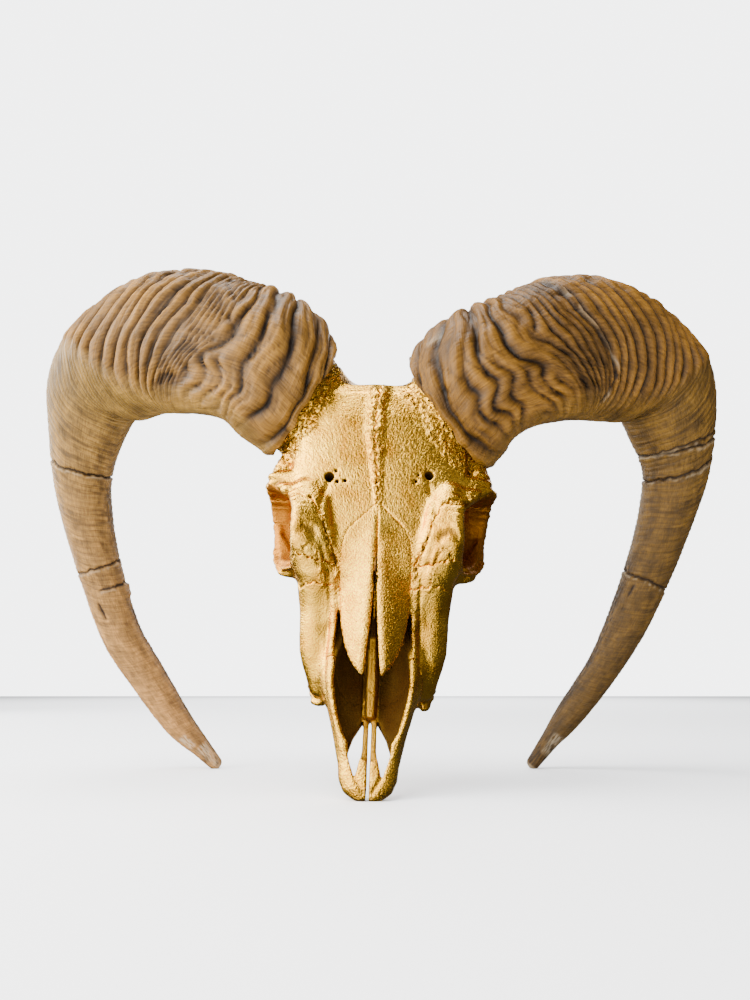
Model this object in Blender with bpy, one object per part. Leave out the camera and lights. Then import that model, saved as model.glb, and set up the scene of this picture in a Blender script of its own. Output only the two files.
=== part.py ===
"""Ram skull with both horns, bare of flesh and without its lower jaw.

It stands upright on the tips of its two premaxillae and of its two horns.
The bones are worked out in the skull's own frame, in millimetres:
  x  across, to the right as seen from the front
  s  along the palate, from the tip of the snout to the nape
  h  above the palate
pose() then stands the skull up, and the finished meshes are in metres, +Z up, the face towards -Y.
"""
import math

import bmesh
import bpy
import numpy as np

MM = 0.001                  # one millimetre in metres
GAP = 0.3                   # left between neighbouring bones, mm
PALATE_LEAN = 25.0          # degrees the palate leans back from upright
ROLL = 2.2                  # degrees the whole skull leans to the right
SNOUT_X = -4.3              # where the snout stands across, mm
ORIGIN = (5.1, 41.7, 0.35)  # middle of the footprint box before it is moved to the origin, mm
PARTING = "MANIFOLD"        # solver of the cuts between bones, where the exact one leaves open edges
VOXEL = 1.7                 # grid that the lofted bone forms are fused on, mm
SKULL_FACES = 3000          # triangles left in the fused skull before it is parted

# Lofted forms: s, lowest h, highest h, half width below, half width above
FACE = [
    (-2.0, 2.0, 8.0, 8.0, 6.0), (3.0, -0.8, 11.0, 14.5, 12.0), (9.0, -1.5, 13.0, 17.2, 15.0),
    (16.0, -1.5, 15.5, 17.5, 16.5), (25.0, -1.5, 19.5, 20.0, 19.5), (35.0, -1.0, 25.0, 22.5, 23.0),
    (45.0, -1.5, 30.0, 26.0, 25.5), (53.0, -3.0, 35.0, 31.5, 26.5), (60.0, -5.0, 38.5, 37.0, 26.5),
    (68.0, -5.0, 42.5, 40.0, 25.5), (76.0, -5.0, 47.0, 42.5, 24.5), (86.0, -4.0, 53.0, 44.5, 24.5),
    (98.0, -3.0, 58.5, 45.0, 25.5), (110.0, -2.0, 63.5, 43.5, 28.0), (122.0, 0.0, 66.0, 39.0, 33.0),
    (134.0, 4.0, 70.0, 32.0, 35.0), (146.0, 10.0, 72.0, 25.0, 30.0)]
BRAINCASE = [
    (128.0, 28.0, 68.0, 19.0, 20.0), (150.0, 26.0, 84.0, 21.0, 25.0), (170.0, 27.0, 98.0, 24.0, 30.0),
    (190.0, 28.0, 110.0, 32.0, 36.0), (205.0, 28.0, 116.0, 37.0, 38.0), (220.0, 30.0, 111.0, 38.0, 37.0),
    (234.0, 32.0, 97.0, 37.0, 34.0), (243.0, 36.0, 85.0, 33.0, 29.0), (249.0, 44.0, 75.0, 24.0, 21.0)]
FOREHEAD = [
    (104.0, 44.0, 65.0, 36.0, 25.0), (116.0, 52.0, 72.0, 44.0, 30.0), (128.0, 62.0, 79.5, 51.0, 40.0),
    (140.0, 70.0, 87.0, 55.0, 49.0), (155.0, 76.0, 96.5, 58.0, 51.0), (170.0, 80.0, 106.0, 58.0, 50.0),
    (185.0, 84.0, 115.5, 56.0, 50.0), (200.0, 88.0, 122.0, 52.0, 48.0), (210.0, 88.0, 120.5, 46.0, 42.0),
    (220.0, 84.0, 113.0, 40.0, 35.0)]
NASAL_CAVITY = [
    (14.0, 9.0, 30.0, 2.5, 4.5), (20.0, 7.5, 34.0, 6.5, 10.5), (26.0, 7.0, 40.0, 10.0, 15.0),
    (34.0, 7.0, 46.0, 12.5, 19.3), (44.0, 7.5, 52.0, 13.0, 22.0), (55.0, 8.0, 60.0, 13.0, 23.4),
    (66.0, 8.5, 62.0, 13.0, 22.6), (75.0, 9.0, 62.0, 13.0, 20.6), (86.0, 10.0, 62.0, 13.0, 19.6),
    (98.0, 12.0, 66.0, 13.0, 19.6), (110.0, 14.0, 69.0, 13.0, 18.5), (120.0, 18.0, 66.0, 11.0, 14.0),
    (128.0, 26.0, 56.0, 6.0, 8.0)]
CHOANA = [
    (126.0, -30.0, 6.0, 9.0, 7.0), (140.0, -30.0, 18.0, 10.0, 9.0), (156.0, -30.0, 27.0, 10.0, 9.0),
    (176.0, -30.0, 30.0, 9.5, 8.0)]

VOMER = [
    (41.0, 4.0, 12.0, 2.6, 2.2), (60.0, 5.0, 17.0, 3.5, 2.5), (90.0, 8.0, 26.0, 3.5, 2.0),
    (112.0, 12.0, 34.0, 3.0, 2.0), (126.0, 22.0, 44.0, 3.0, 2.0)]

# Nasal bone: s, inner edge, outer edge, height of the crest, fall to the outer edge, thickness
NASAL = [
    (53.0, 4.3, 7.0, 44.8, 1.0, 3.0), (57.0, 3.7, 10.2, 46.8, 2.5, 3.4), (62.0, 3.3, 13.0, 49.2, 3.5, 4.0),
    (70.0, 2.9, 16.3, 53.0, 5.0, 4.0), (80.0, 2.2, 18.9, 57.6, 5.5, 4.0), (92.0, 1.4, 20.3, 63.2, 5.5, 4.5),
    (104.0, 0.7, 21.4, 68.8, 5.5, 5.0), (114.0, 0.4, 23.2, 73.4, 6.0, 5.0), (122.0, 0.2, 24.4, 77.4, 6.5, 5.0),
    (128.0, 0.2, 16.5, 80.2, 3.5, 5.0), (134.0, 0.2, 8.5, 83.0, 1.2, 4.5), (139.5, 0.2, 1.8, 85.6, 0.2, 4.0)]
NASAL_STEPS = 5

# Orbit: ring of bone round (ORBIT_S, ORBIT_H); angle from the nape side towards the crown, half width x
ORBIT_S, ORBIT_H, ORBIT_RING, ORBIT_BAR = 139.0, 62.0, 25.5, 4.2
ORBIT_RIM = [
    (0, 71.0), (25, 73.0), (45, 67.0), (66, 58.0), (96, 55.0), (127, 54.0), (156, 50.5), (180, 54.0),
    (207, 58.5), (233, 61.0), (267, 66.0), (305, 69.0), (333, 70.0), (360, 71.0)]

# Tubes of bone on one side: x, s, h, half width across, half thickness
ARCH = [(55.0, 120.0, 44.0, 5.0, 5.0), (65.0, 138.0, 37.5, 3.6, 5.5), (69.0, 160.0, 38.0, 2.8, 5.0),
        (67.0, 180.0, 41.0, 2.8, 4.6), (59.0, 197.0, 43.0, 4.0, 4.2), (42.0, 208.0, 44.0, 8.0, 5.0),
        (30.0, 212.0, 46.0, 8.0, 5.0)]
POSTORBITAL = [(64.0, 157.0, 82.0, 8.0, 3.0), (65.0, 166.0, 66.0, 9.0, 3.0), (65.0, 163.0, 50.0, 8.0, 3.0),
               (66.0, 156.0, 40.0, 5.0, 3.6)]
CHEEK = [(28.0, 92.0, 20.0, 14.0, 14.0), (33.0, 106.0, 30.0, 13.0, 15.0), (38.0, 115.0, 40.0, 11.0, 13.0),
         (46.0, 121.0, 43.0, 8.0, 9.0), (57.0, 127.0, 40.0, 5.0, 6.0)]
BROW = [(44.0, 143.0, 80.0, 8.0, 6.0), (56.0, 156.0, 82.0, 8.0, 6.0), (65.0, 165.0, 80.0, 6.0, 6.0),
        (52.0, 181.0, 90.0, 8.0, 8.0)]
LACRIMAL_WALL = [(50.0, 153.0, 84.0, 8.0, 5.0), (46.0, 139.0, 83.0, 11.0, 5.0), (43.0, 126.0, 76.0, 13.0, 6.0),
                 (41.0, 118.0, 66.0, 13.0, 7.0), (41.0, 114.0, 54.0, 12.0, 8.0), (44.0, 116.0, 44.0, 9.0, 8.0)]
TOOTH_BED = [(31.0, 56.0, -2.0, 5.5, 3.5), (33.5, 72.0, -2.5, 7.0, 5.0), (34.5, 95.0, -2.5, 7.5, 6.0),
             (34.0, 118.0, -2.0, 7.5, 6.5), (32.0, 134.0, 0.0, 6.5, 6.5), (27.0, 146.0, 8.0, 5.0, 6.0)]
PTERYGOID = [(15.0, 128.0, 2.0, 2.4, 6.0), (14.0, 145.0, 9.0, 2.2, 10.0), (13.0, 160.0, 15.0, 2.2, 12.0),
             (12.0, 171.0, 16.0, 2.0, 10.0), (11.5, 176.0, 22.0, 2.0, 8.0)]
HAMULUS = [(13.0, 163.0, 12.0, 1.8, 3.0), (12.0, 169.0, 5.0, 1.6, 2.4), (11.5, 174.0, 1.5, 1.4, 1.8)]
BULLA = [(23.0, 203.0, 27.0, 6.0, 7.0), (23.0, 211.0, 25.0, 8.5, 9.5), (23.0, 219.0, 27.0, 7.0, 8.0)]
EAR = [(30.0, 214.0, 46.0, 7.0, 7.0), (43.0, 217.0, 49.0, 5.5, 5.5)]
PAROCCIPITAL = [(30.0, 234.0, 46.0, 8.0, 5.0), (30.5, 236.0, 28.0, 5.0, 3.4), (28.0, 234.0, 12.0, 3.0, 2.4),
                (26.5, 231.0, 4.0, 1.8, 1.6)]
CONDYLE = [(7.0, 240.0, 31.0, 6.5, 7.0), (13.0, 247.0, 40.0, 7.5, 8.5), (16.0, 247.0, 51.0, 6.0, 7.0)]
NUCHAL_CREST = [(0.0, 246.0, 82.0, 7.0, 4.5), (18.0, 243.0, 79.0, 5.0, 3.6), (31.0, 237.0, 68.0, 4.5, 3.2),
                (37.0, 230.0, 55.0, 5.0, 3.4)]
SKULL_BASE = [(0.0, 158.0, 36.0, 9.0, 7.0), (0.0, 185.0, 33.0, 10.0, 7.0), (0.0, 215.0, 32.0, 13.0, 7.0),
              (0.0, 238.0, 32.0, 14.0, 7.0)]

# Cheek teeth on one side: s of the middle, length, width, x of the middle
TEETH = [(61.0, 7.4, 7.5, 31.5), (69.5, 8.8, 10.0, 32.5), (79.5, 10.4, 12.5, 33.2), (92.5, 14.6, 14.0, 33.8),
         (108.5, 16.6, 14.5, 34.0), (125.0, 15.6, 13.0, 33.0)]
TOOTH_TOP, TOOTH_BOTTOM = 1.0, -11.5

# Supraorbital foramen on one side: x, s, radius, lowest and highest h
FORAMEN = (30.0, 157.0, 2.5, 84.0, 110.0)

# Palatine fissure on one side, as x and s of its corners
FISSURE = [(3.2, 15.0), (5.5, 12.6), (8.4, 13.4), (12.6, 26.0), (9.5, 34.0), (3.9, 44.0)]

# Horn paths in the standing frame: x, y, z, half breadth across the view, keel angle in degrees
HORN_LEFT = [
    (-48, -6, 237, 39.5, 10), (-65, -18, 252, 45.5, 15), (-85, -22, 263, 44, 20), (-112, -18, 272, 45, 40),
    (-142, -6, 277, 45, 74), (-172, 10, 274, 41, 110), (-197, 25, 262, 34, 140), (-209, 41, 238, 26, 160),
    (-215, 56, 208, 20, 170), (-213, 71, 176, 17, 175), (-205, 88, 138, 15, 175), (-192, 104, 98, 14, 175),
    (-174, 117, 68, 13, 175), (-151, 130, 34, 10.5, 175), (-134, 136, 16, 7, 175), (-121, 138, 3.1, 4.5, 175)]
HORN_RIGHT = [
    (49, -6, 228, 41.5, 10), (63, -18, 242, 43.5, 15), (84, -22, 254, 42, 20), (112, -18, 266, 45, 40),
    (142, -6, 274, 46, 74), (174, 10, 274, 43, 110), (203, 25, 264, 35.5, 140), (216, 42, 240, 29.5, 160),
    (222, 56, 214, 23, 170), (219, 71, 186, 19.5, 175), (209, 87, 150, 17, 175), (194, 104, 110, 15, 175),
    (175, 118, 74, 12, 175), (150, 130, 40, 10, 175), (134, 136, 20, 6.5, 175), (120, 138, 3.1, 4.5, 175)]
HORN_FRONT = (0.0, -360.0, 57.0)   # the broad side of every horn section is turned to this point
HORN_DEPTH = (0.78, 0.86)          # thickness over breadth at the base and at the tip
HORN_EDGE = (0.07, 0.04)           # how far the section's three edges stand out, base and tip
HORN_STATIONS, HORN_SIDES = 31, 16
HORN_SKEW, HORN_SKEW_RUN = 0.27, 0.2   # the rim is cut aslant: slope, and share of the curl it fades over
PEDICLE_BREADTH, PEDICLE_DEPTH = 33.0, 25.5   # bony stump inside the horn's rim
PEDICLE_LENGTH = 32.0

BONE_COLOUR = (0.62, 0.38, 0.11, 1.0)
HORN_COLOUR = (0.23, 0.13, 0.055, 1.0)


def material(name, colour, roughness, metallic):
    made = bpy.data.materials.new(name)
    made.use_nodes = True
    shader = made.node_tree.nodes["Principled BSDF"]
    shader.inputs["Base Color"].default_value = colour
    shader.inputs["Roughness"].default_value = roughness
    shader.inputs["Metallic"].default_value = metallic
    return made


def add_object(name, mesh):
    made = bpy.data.objects.new(name, mesh)
    bpy.context.collection.objects.link(made)
    return made


def mesh_of(name, solids):
    """One mesh from a list of (points, faces)."""
    points, faces, start = [], [], 0
    for some_points, some_faces in solids:
        points.append(np.asarray(some_points, float) * MM)
        faces += [[start + i for i in face] for face in some_faces]
        start += len(some_points)
    mesh = bpy.data.meshes.new(name)
    mesh.from_pydata(np.concatenate(points).tolist(), [], faces)
    mesh.update()
    return mesh


def loft(rings):
    """Closed solid through rings of equally many points, with flat ends."""
    count = len(rings[0])
    points = np.concatenate(rings)
    faces = []
    for row in range(len(rings) - 1):
        for i in range(count):
            j = (i + 1) % count
            a, b = row * count, (row + 1) * count
            faces.append((a + i, a + j, b + j, b + i))
    last = (len(rings) - 1) * count
    faces.append(tuple(reversed(range(count))))
    faces.append(tuple(range(last, last + count)))
    return outward(points, faces)


def outward(points, faces):
    """Turns all faces when the solid is inside out."""
    volume = 0.0
    for face in faces:
        origin = points[face[0]]
        for i in range(1, len(face) - 1):
            volume += np.dot(origin, np.cross(points[face[i]], points[face[i + 1]]))
    if volume < 0:
        faces = [tuple(reversed(face)) for face in faces]
    return points, faces


def mirrored(solid):
    points, faces = solid
    return np.asarray(points) * (-1, 1, 1), [tuple(reversed(face)) for face in faces]


def resample(rows, count):
    """Catmull-Rom curve through the rows, read at equal steps of arc length."""
    rows = np.asarray(rows, float)
    padded = np.vstack([2 * rows[0] - rows[1], rows, 2 * rows[-1] - rows[-2]])
    steps = np.linspace(0, 1, 12, endpoint=False)[:, None]
    dense = []
    for i in range(len(rows) - 1):
        a, b, c, d = padded[i:i + 4]
        dense.append(0.5 * (2 * b + (c - a) * steps + (2 * a - 5 * b + 4 * c - d) * steps ** 2
                            + (3 * b - a - 3 * c + d) * steps ** 3))
    dense = np.vstack(dense + [rows[-1:]])
    run = np.r_[0, np.cumsum(np.linalg.norm(np.diff(dense[:, :3], axis=0), axis=1))]
    at = np.linspace(0, run[-1], count)
    return np.stack([np.interp(at, run, column) for column in dense.T], axis=1)


def unit(vectors):
    return vectors / np.linalg.norm(vectors, axis=-1, keepdims=True)


def block(stations, power=2.6, sides=32):
    """Loft of rounded trapezoids that stand across s."""
    angle = np.arange(sides) * 2 * math.pi / sides
    across = np.sign(np.cos(angle)) * np.abs(np.cos(angle)) ** (2 / power)
    up = np.sign(np.sin(angle)) * np.abs(np.sin(angle)) ** (2 / power)
    rings = []
    for s, low, high, half_low, half_high in stations:
        half = half_low + (half_high - half_low) * (up + 1) / 2
        height = (low + high) / 2 + up * (high - low) / 2
        rings.append(np.stack([across * half, np.full(sides, s), height], axis=1))
    return loft(rings)


def tube(path, count=12, sides=12, wide=(1, 0, 0)):
    """Elliptical bar along a path; the first half size lies along `wide`, and both ends are rounded."""
    rows = resample(path, count)
    centre, sizes = rows[:, :3], rows[:, 3:5]
    along = unit(np.gradient(centre, axis=0))
    broad = unit(np.asarray(wide, float) - along * (along @ np.asarray(wide, float))[:, None])
    thin = np.cross(along, broad)
    angle = np.arange(sides) * 2 * math.pi / sides
    rings = []
    for i in [0] + list(range(count)) + [count - 1]:
        end = -1 if len(rings) == 0 else (1 if len(rings) == count + 1 else 0)
        shrink = 0.6 if end else 1.0
        start = centre[i] + along[i] * end * sizes[i].min() * 0.5
        rings.append(start + shrink * (sizes[i, 0] * np.cos(angle)[:, None] * broad[i]
                                       + sizes[i, 1] * np.sin(angle)[:, None] * thin[i]))
    return loft(rings)


def ellipsoid(centre, radii, rows=10, sides=16):
    rings = []
    for k in range(1, rows):
        polar = math.pi * k / rows
        angle = np.arange(sides) * 2 * math.pi / sides
        ring = np.stack([np.sin(polar) * np.cos(angle), np.full(sides, np.cos(polar)),
                         np.sin(polar) * np.sin(angle)], axis=1)
        rings.append(np.asarray(centre) + ring * radii)
    return loft(rings)


def prism(outline, axis, low, high):
    """Straight prism; the outline's two columns are the two other axes in order."""
    outline = np.asarray(outline, float)
    others = [i for i in range(3) if i != axis]
    rings = []
    for level in (low, high):
        ring = np.empty((len(outline), 3))
        ring[:, axis] = level
        ring[:, others] = outline
        rings.append(ring)
    return loft(rings)


def orbit_ring():
    """Ring of bone round the eye socket, bent sideways as its rim is."""
    angles = np.radians(np.linspace(0, 360, 30, endpoint=False))
    known = np.array(ORBIT_RIM, float)
    side = np.interp(np.degrees(angles), known[:, 0], known[:, 1])
    centre = np.stack([side, ORBIT_S + ORBIT_RING * np.cos(angles), ORBIT_H + ORBIT_RING * np.sin(angles)], axis=1)
    out = np.stack([np.zeros(30), np.cos(angles), np.sin(angles)], axis=1)
    turn = np.arange(10) * 2 * math.pi / 10
    rings = [c + ORBIT_BAR * (np.cos(turn)[:, None] * o + np.sin(turn)[:, None] * np.array([1.0, 0, 0]))
             for c, o in zip(centre, out)]
    points = np.concatenate(rings)
    faces = []
    for row in range(30):
        a, b = row * 10, (row + 1) % 30 * 10
        faces += [(a + i, a + (i + 1) % 10, b + (i + 1) % 10, b + i) for i in range(10)]
    return outward(points, faces)


def nasal(side, grow=0.0):
    """Arched nasal bone; grow widens it on every side."""
    steps = np.linspace(0, 1, NASAL_STEPS)
    rings = []
    first, last = NASAL[0][0], NASAL[-1][0]
    for s, inner, outer, crest, fall, thick in NASAL:
        x = (inner - grow) + (outer - inner + 2 * grow) * steps
        top = crest - fall * steps ** 2 + grow
        under = crest - fall * steps ** 2 - thick - grow
        upper = np.stack([x, np.full(NASAL_STEPS, s), top], axis=1)
        lower = np.stack([x, np.full(NASAL_STEPS, s), under], axis=1)[::-1]
        ring = np.vstack([upper, lower])
        ring[:, 1] += grow * (1 if s == last else -1 if s == first else 0)
        rings.append(ring * (side, 1, 1))
    return loft(rings)


def foramen():
    """Cutter for the blood vessel's hole above the eye."""
    x, s, radius, low, high = FORAMEN
    angle = np.arange(8) * math.pi / 4
    return prism(np.stack([x + radius * np.cos(angle), s + radius * np.sin(angle)], axis=1), 2, low, high)


def tooth(middle, length, width, x):
    """Cheek tooth: a crown with rounded corners that narrows to its two chewing ridges."""
    angle = np.arange(8) * math.pi / 4 + math.pi / 8
    corner = np.stack([np.cos(angle), np.sin(angle)], axis=1) * 1.08
    rings = []
    for height, scale in ((TOOTH_TOP, 0.9), (-4.0, 1.0), (-9.0, 0.98), (TOOTH_BOTTOM, 0.8)):
        flat = corner * (width / 2 * scale, length / 2 * scale)
        rings.append(np.stack([x + flat[:, 0], middle + flat[:, 1], np.full(8, height)], axis=1))
    return loft(rings)


def pose(points):
    """Skull frame to standing frame, both in millimetres."""
    x, s, h = np.asarray(points, float).T
    lean, roll = math.radians(PALATE_LEAN), math.radians(ROLL)
    y = s * math.sin(lean) - h * math.cos(lean)
    z = s * math.cos(lean) + h * math.sin(lean)
    return np.stack([x * math.cos(roll) + z * math.sin(roll) + SNOUT_X, y,
                     z * math.cos(roll) - x * math.sin(roll)], axis=1)


def unpose(points):
    """Standing frame back to skull frame."""
    x, y, z = (np.asarray(points, float) - (SNOUT_X, 0, 0)).T
    lean, roll = math.radians(PALATE_LEAN), math.radians(ROLL)
    side = x * math.cos(roll) - z * math.sin(roll)
    up = z * math.cos(roll) + x * math.sin(roll)
    return np.stack([side, up * math.cos(lean) + y * math.sin(lean), up * math.sin(lean) - y * math.cos(lean)],
                    axis=1)


def horn_frames(path, count):
    """Centres, the axes across and to the front, and the size of each horn section."""
    rows = resample(path, count)
    centre = rows[:, :3]
    along = unit(np.gradient(centre, axis=0))
    front = unit(np.asarray(HORN_FRONT) - centre)
    inner = unit(np.cross(along, front))
    inner *= np.sign(np.sum(inner[0] * (-centre[0, 0], 0, -1)))
    front = unit(front - along * np.sum(front * along, axis=1)[:, None])
    return centre, along, inner, front, rows[:, 3], np.radians(rows[:, 4])


def horn(path):
    """Horn sheath: a rounded three-edged section carried along its curl, flat at the rim."""
    centre, along, inner, front, breadth, keel = horn_frames(path, HORN_STATIONS)
    run = np.linspace(0, 1, HORN_STATIONS)
    depth = breadth * (HORN_DEPTH[0] + (HORN_DEPTH[1] - HORN_DEPTH[0]) * run)
    edge = HORN_EDGE[0] + (HORN_EDGE[1] - HORN_EDGE[0]) * run
    angle = np.arange(HORN_SIDES) * 2 * math.pi / HORN_SIDES
    rings = []
    for i in range(HORN_STATIONS):
        wave = 1 + edge[i] * np.cos(3 * (angle - keel[i]))
        shift = -edge[i] * breadth[i] * math.cos(3 * keel[i])
        slant = HORN_SKEW * max(0.0, 1 - run[i] / HORN_SKEW_RUN)
        rings.append(centre[i] + (inner[i] + slant * along[i]) * (breadth[i] * np.cos(angle) * wave + shift)[:, None]
                     + front[i] * (depth[i] * np.sin(angle) * wave)[:, None])
    tip = centre[-1] + along[-1] * breadth[-1] * 0.6
    rings.append(tip + (rings[-1] - centre[-1]) * 0.45)
    return loft(rings)


def pedicle(path):
    """Bony stump that carries the horn, in the skull frame, cut flat at the horn's rim."""
    centre, along, inner, front, _, _ = horn_frames(path, HORN_STATIONS)
    inner = inner + HORN_SKEW * along
    angle = np.arange(24) * 2 * math.pi / 24
    rings = []
    for back, scale in ((PEDICLE_LENGTH, 1.0), (PEDICLE_LENGTH / 2, 0.97), (8.0, 0.96), (GAP, 1.0)):
        rings.append(centre[0] - along[0] * back
                     + scale * (inner[0] * (PEDICLE_BREADTH * np.cos(angle))[:, None]
                                + front[0] * (PEDICLE_DEPTH * np.sin(angle))[:, None]))
    points, faces = loft(rings)
    return outward(unpose(points), faces)


def rim_cutter(path):
    """Short fat cylinder past the horn's rim; it trims the stump flat."""
    centre, along, inner, front, _, _ = horn_frames(path, HORN_STATIONS)
    inner = inner + HORN_SKEW * along
    angle = np.arange(24) * 2 * math.pi / 24
    rings = []
    for ahead in (-GAP, 40.0):
        rings.append(centre[0] + along[0] * ahead + 60.0 * (inner[0] * np.cos(angle)[:, None]
                                                            + front[0] * np.sin(angle)[:, None]))
    points, faces = loft(rings)
    return outward(unpose(points), faces)


def evaluated(source, name):
    """New mesh with the object's modifiers applied; the object goes away."""
    graph = bpy.context.evaluated_depsgraph_get()
    mesh = bpy.data.meshes.new_from_object(source.evaluated_get(graph))
    mesh.name = name
    bpy.data.objects.remove(source)
    return mesh


def boolean(mesh, solids, operation, solver="EXACT"):
    body = add_object("work", mesh)
    tool = add_object("tool", mesh_of("tool", solids))
    change = body.modifiers.new("cut", "BOOLEAN")
    change.operation = operation
    change.solver = solver
    change.object = tool
    made = evaluated(body, mesh.name)
    bpy.data.objects.remove(tool)
    return made


def decimate(mesh, faces):
    body = add_object("work", mesh)
    change = body.modifiers.new("thin", "DECIMATE")
    change.ratio = min(1.0, faces / max(1, sum(len(p.vertices) - 2 for p in mesh.polygons)))
    change.use_collapse_triangulate = True
    return evaluated(body, mesh.name)


def fuse(solids):
    """Fuses lofted forms into one skin and rounds the inner corners between them."""
    body = add_object("work", mesh_of("skull", solids))
    skin = body.modifiers.new("fuse", "REMESH")
    skin.mode = "VOXEL"
    skin.voxel_size = VOXEL * MM
    soften = body.modifiers.new("soften", "SMOOTH")
    soften.factor = 0.5
    soften.iterations = 6
    return evaluated(body, "skull")


def largest_piece(mesh):
    """Drops the crumbs that a cut can leave beside the main body."""
    form = bmesh.new()
    form.from_mesh(mesh)
    bmesh.ops.remove_doubles(form, verts=form.verts, dist=0.000001)
    left, groups = set(form.faces), []
    while left:
        group, edge_of_group = set(), [left.pop()]
        while edge_of_group:
            face = edge_of_group.pop()
            group.add(face)
            for edge in face.edges:
                for other in edge.link_faces:
                    if other in left:
                        left.remove(other)
                        edge_of_group.append(other)
        groups.append(group)
    groups.sort(key=lambda g: -sum(f.calc_area() for f in g))
    crumbs = [face for group in groups[1:] for face in group]
    bmesh.ops.delete(form, geom=crumbs, context="FACES")
    loose = [v for v in form.verts if not v.link_faces]
    bmesh.ops.delete(form, geom=loose, context="VERTS")
    bmesh.ops.triangulate(form, faces=form.faces)
    form.to_mesh(mesh)
    form.free()
    return mesh


def skull_mesh():
    """The whole upper skull as one body, before it is parted into bones."""
    paired = [orbit_ring(), tube(ARCH, 16), tube(POSTORBITAL, 8), tube(CHEEK, 10), tube(BROW, 10),
              tube(LACRIMAL_WALL, 12), tube(TOOTH_BED, 12), tube(PTERYGOID, 10), tube(HAMULUS, 6), tube(BULLA, 8),
              tube(EAR, 6, wide=(0, 1, 0)), tube(PAROCCIPITAL, 10), tube(CONDYLE, 8), tube(NUCHAL_CREST, 10)]
    solids = [block(FACE, 3.0), block(BRAINCASE, 2.4), block(FOREHEAD, 3.0), tube(SKULL_BASE, 8)]
    solids += paired + [mirrored(solid) for solid in paired]
    solids += [pedicle(HORN_LEFT), pedicle(HORN_RIGHT)]
    skull = decimate(fuse(solids), SKULL_FACES * 3)

    socket = ellipsoid((66.0, ORBIT_S, ORBIT_H), (38.0, 21.5, 21.0))
    fissure = prism([(x, s) for x, s in FISSURE], 2, -20.0, 30.0)
    hollows = [socket, mirrored(socket), block(NASAL_CAVITY, 3.0)]
    skull = boolean(skull, hollows, "DIFFERENCE")
    skull = boolean(skull, [fissure, mirrored(fissure)], "DIFFERENCE")
    slit = prism([(-0.8, -20.0), (0.8, -20.0), (0.6, 42.0), (-0.6, 42.0)], 2, -20.0, 40.0)
    skull = boolean(skull, [slit], "DIFFERENCE")
    skull = boolean(skull, [block(CHOANA, 3.0)], "DIFFERENCE")
    skull = boolean(skull, [ellipsoid((0.0, 252.0, 51.0), (10.5, 30.0, 9.5))], "DIFFERENCE")
    skull = boolean(skull, [block(VOMER, 2.0, 16)], "UNION")
    skull = largest_piece(decimate(skull, SKULL_FACES))
    skull = boolean(skull, [foramen(), mirrored(foramen())], "DIFFERENCE")
    for path in (HORN_LEFT, HORN_RIGHT):
        skull = boolean(skull, [rim_cutter(path)], "DIFFERENCE")
    teeth = [tooth(*row) for row in TEETH]
    skull = boolean(skull, teeth + [mirrored(one) for one in teeth], "UNION")
    return largest_piece(skull)


# Cells that part the skull. Each gives the outline in two axes; `grow` widens the cell for its gap.
def cell_premaxilla(side, grow):
    """Snout in front of a slanting suture."""
    front = [(-30.0, -60.0), (2.0 + grow, -60.0), (102.0 + grow, 80.0), (-30.0, 80.0)]
    return prism(front, 0, *half(side, grow))


def cell_lacrimal(side, grow):
    """Wall between the nasal bone and the front rim of the orbit."""
    outline = [(18.0, 112.0 - grow), (33.0, 112.5 - grow), (41.0, 117.0 - grow), (60.0, 117.0 - grow),
               (60.0, 145.0 + grow), (47.0, 145.0 + grow), (34.0, 140.0 + grow), (28.0, 131.0 + grow),
               (22.0 - grow, 113.0 + grow), (18.0, 112.0 + grow)]
    solid = prism([(x, s) for x, s in outline], 2, 55.0 - grow, 110.0)
    return solid if side > 0 else mirrored(solid)


def cell_zygomatic(side, grow):
    """Cheek bone: the lower half of the orbit ring and the front of the arch."""
    outline = [(105.0 - grow, 28.0), (118.0, 20.0 - grow), (190.0 + grow, 20.0 - grow), (176.0 + grow, 60.0),
               (150.0, 60.0 + grow), (112.0 - grow, 60.0 + grow)]
    low, high = 44.0 - grow, 100.0
    return prism(outline, 0, low, high) if side > 0 else prism(outline, 0, -high, -low)


def cell_frontal(side, grow):
    """Forehead, brow, horn stump and the upper end of the bar behind the orbit."""
    outline = [(100.0, 52.0 - grow), (178.0 + grow, 52.0 - grow), (192.0 + grow, 78.0), (226.0 + grow, 94.0),
               (230.0 + grow, 200.0), (100.0, 200.0)]
    return prism(outline, 0, *half(side, grow))


def cell_maxilla(side, grow):
    """Upper jaw with its cheek teeth, up to the back of the palate."""
    outline = [(-30.0, -60.0), (150.0 + grow, -60.0), (138.0 + grow, 52.0), (138.0 + grow, 200.0), (-30.0, 200.0)]
    return prism(outline, 0, *half(side, grow))


def half(side, grow):
    """The x range of one half of the skull."""
    low, high = GAP / 2 - grow, 140.0
    return (low, high) if side > 0 else (-high, -low)


def part_bones(skull):
    """Cuts the skull into its bones, one cell after another."""
    bones = {}
    for side, word in ((-1, "left"), (1, "right")):
        bones["nasal_" + word] = mesh_of("nasal", [nasal(side)])
        skull = boolean(skull, [nasal(side, GAP)], "DIFFERENCE", PARTING)
    for bone, cell in (("premaxilla", cell_premaxilla), ("lacrimal", cell_lacrimal),
                       ("zygomatic", cell_zygomatic), ("frontal", cell_frontal), ("maxilla", cell_maxilla)):
        for side, word in ((-1, "left"), (1, "right")):
            bones[bone + "_" + word] = largest_piece(boolean(skull.copy(), [cell(side, 0.0)], "INTERSECT", PARTING))
            skull = boolean(skull, [cell(side, GAP)], "DIFFERENCE", PARTING)
    bones["braincase"] = largest_piece(skull)
    return bones


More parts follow.
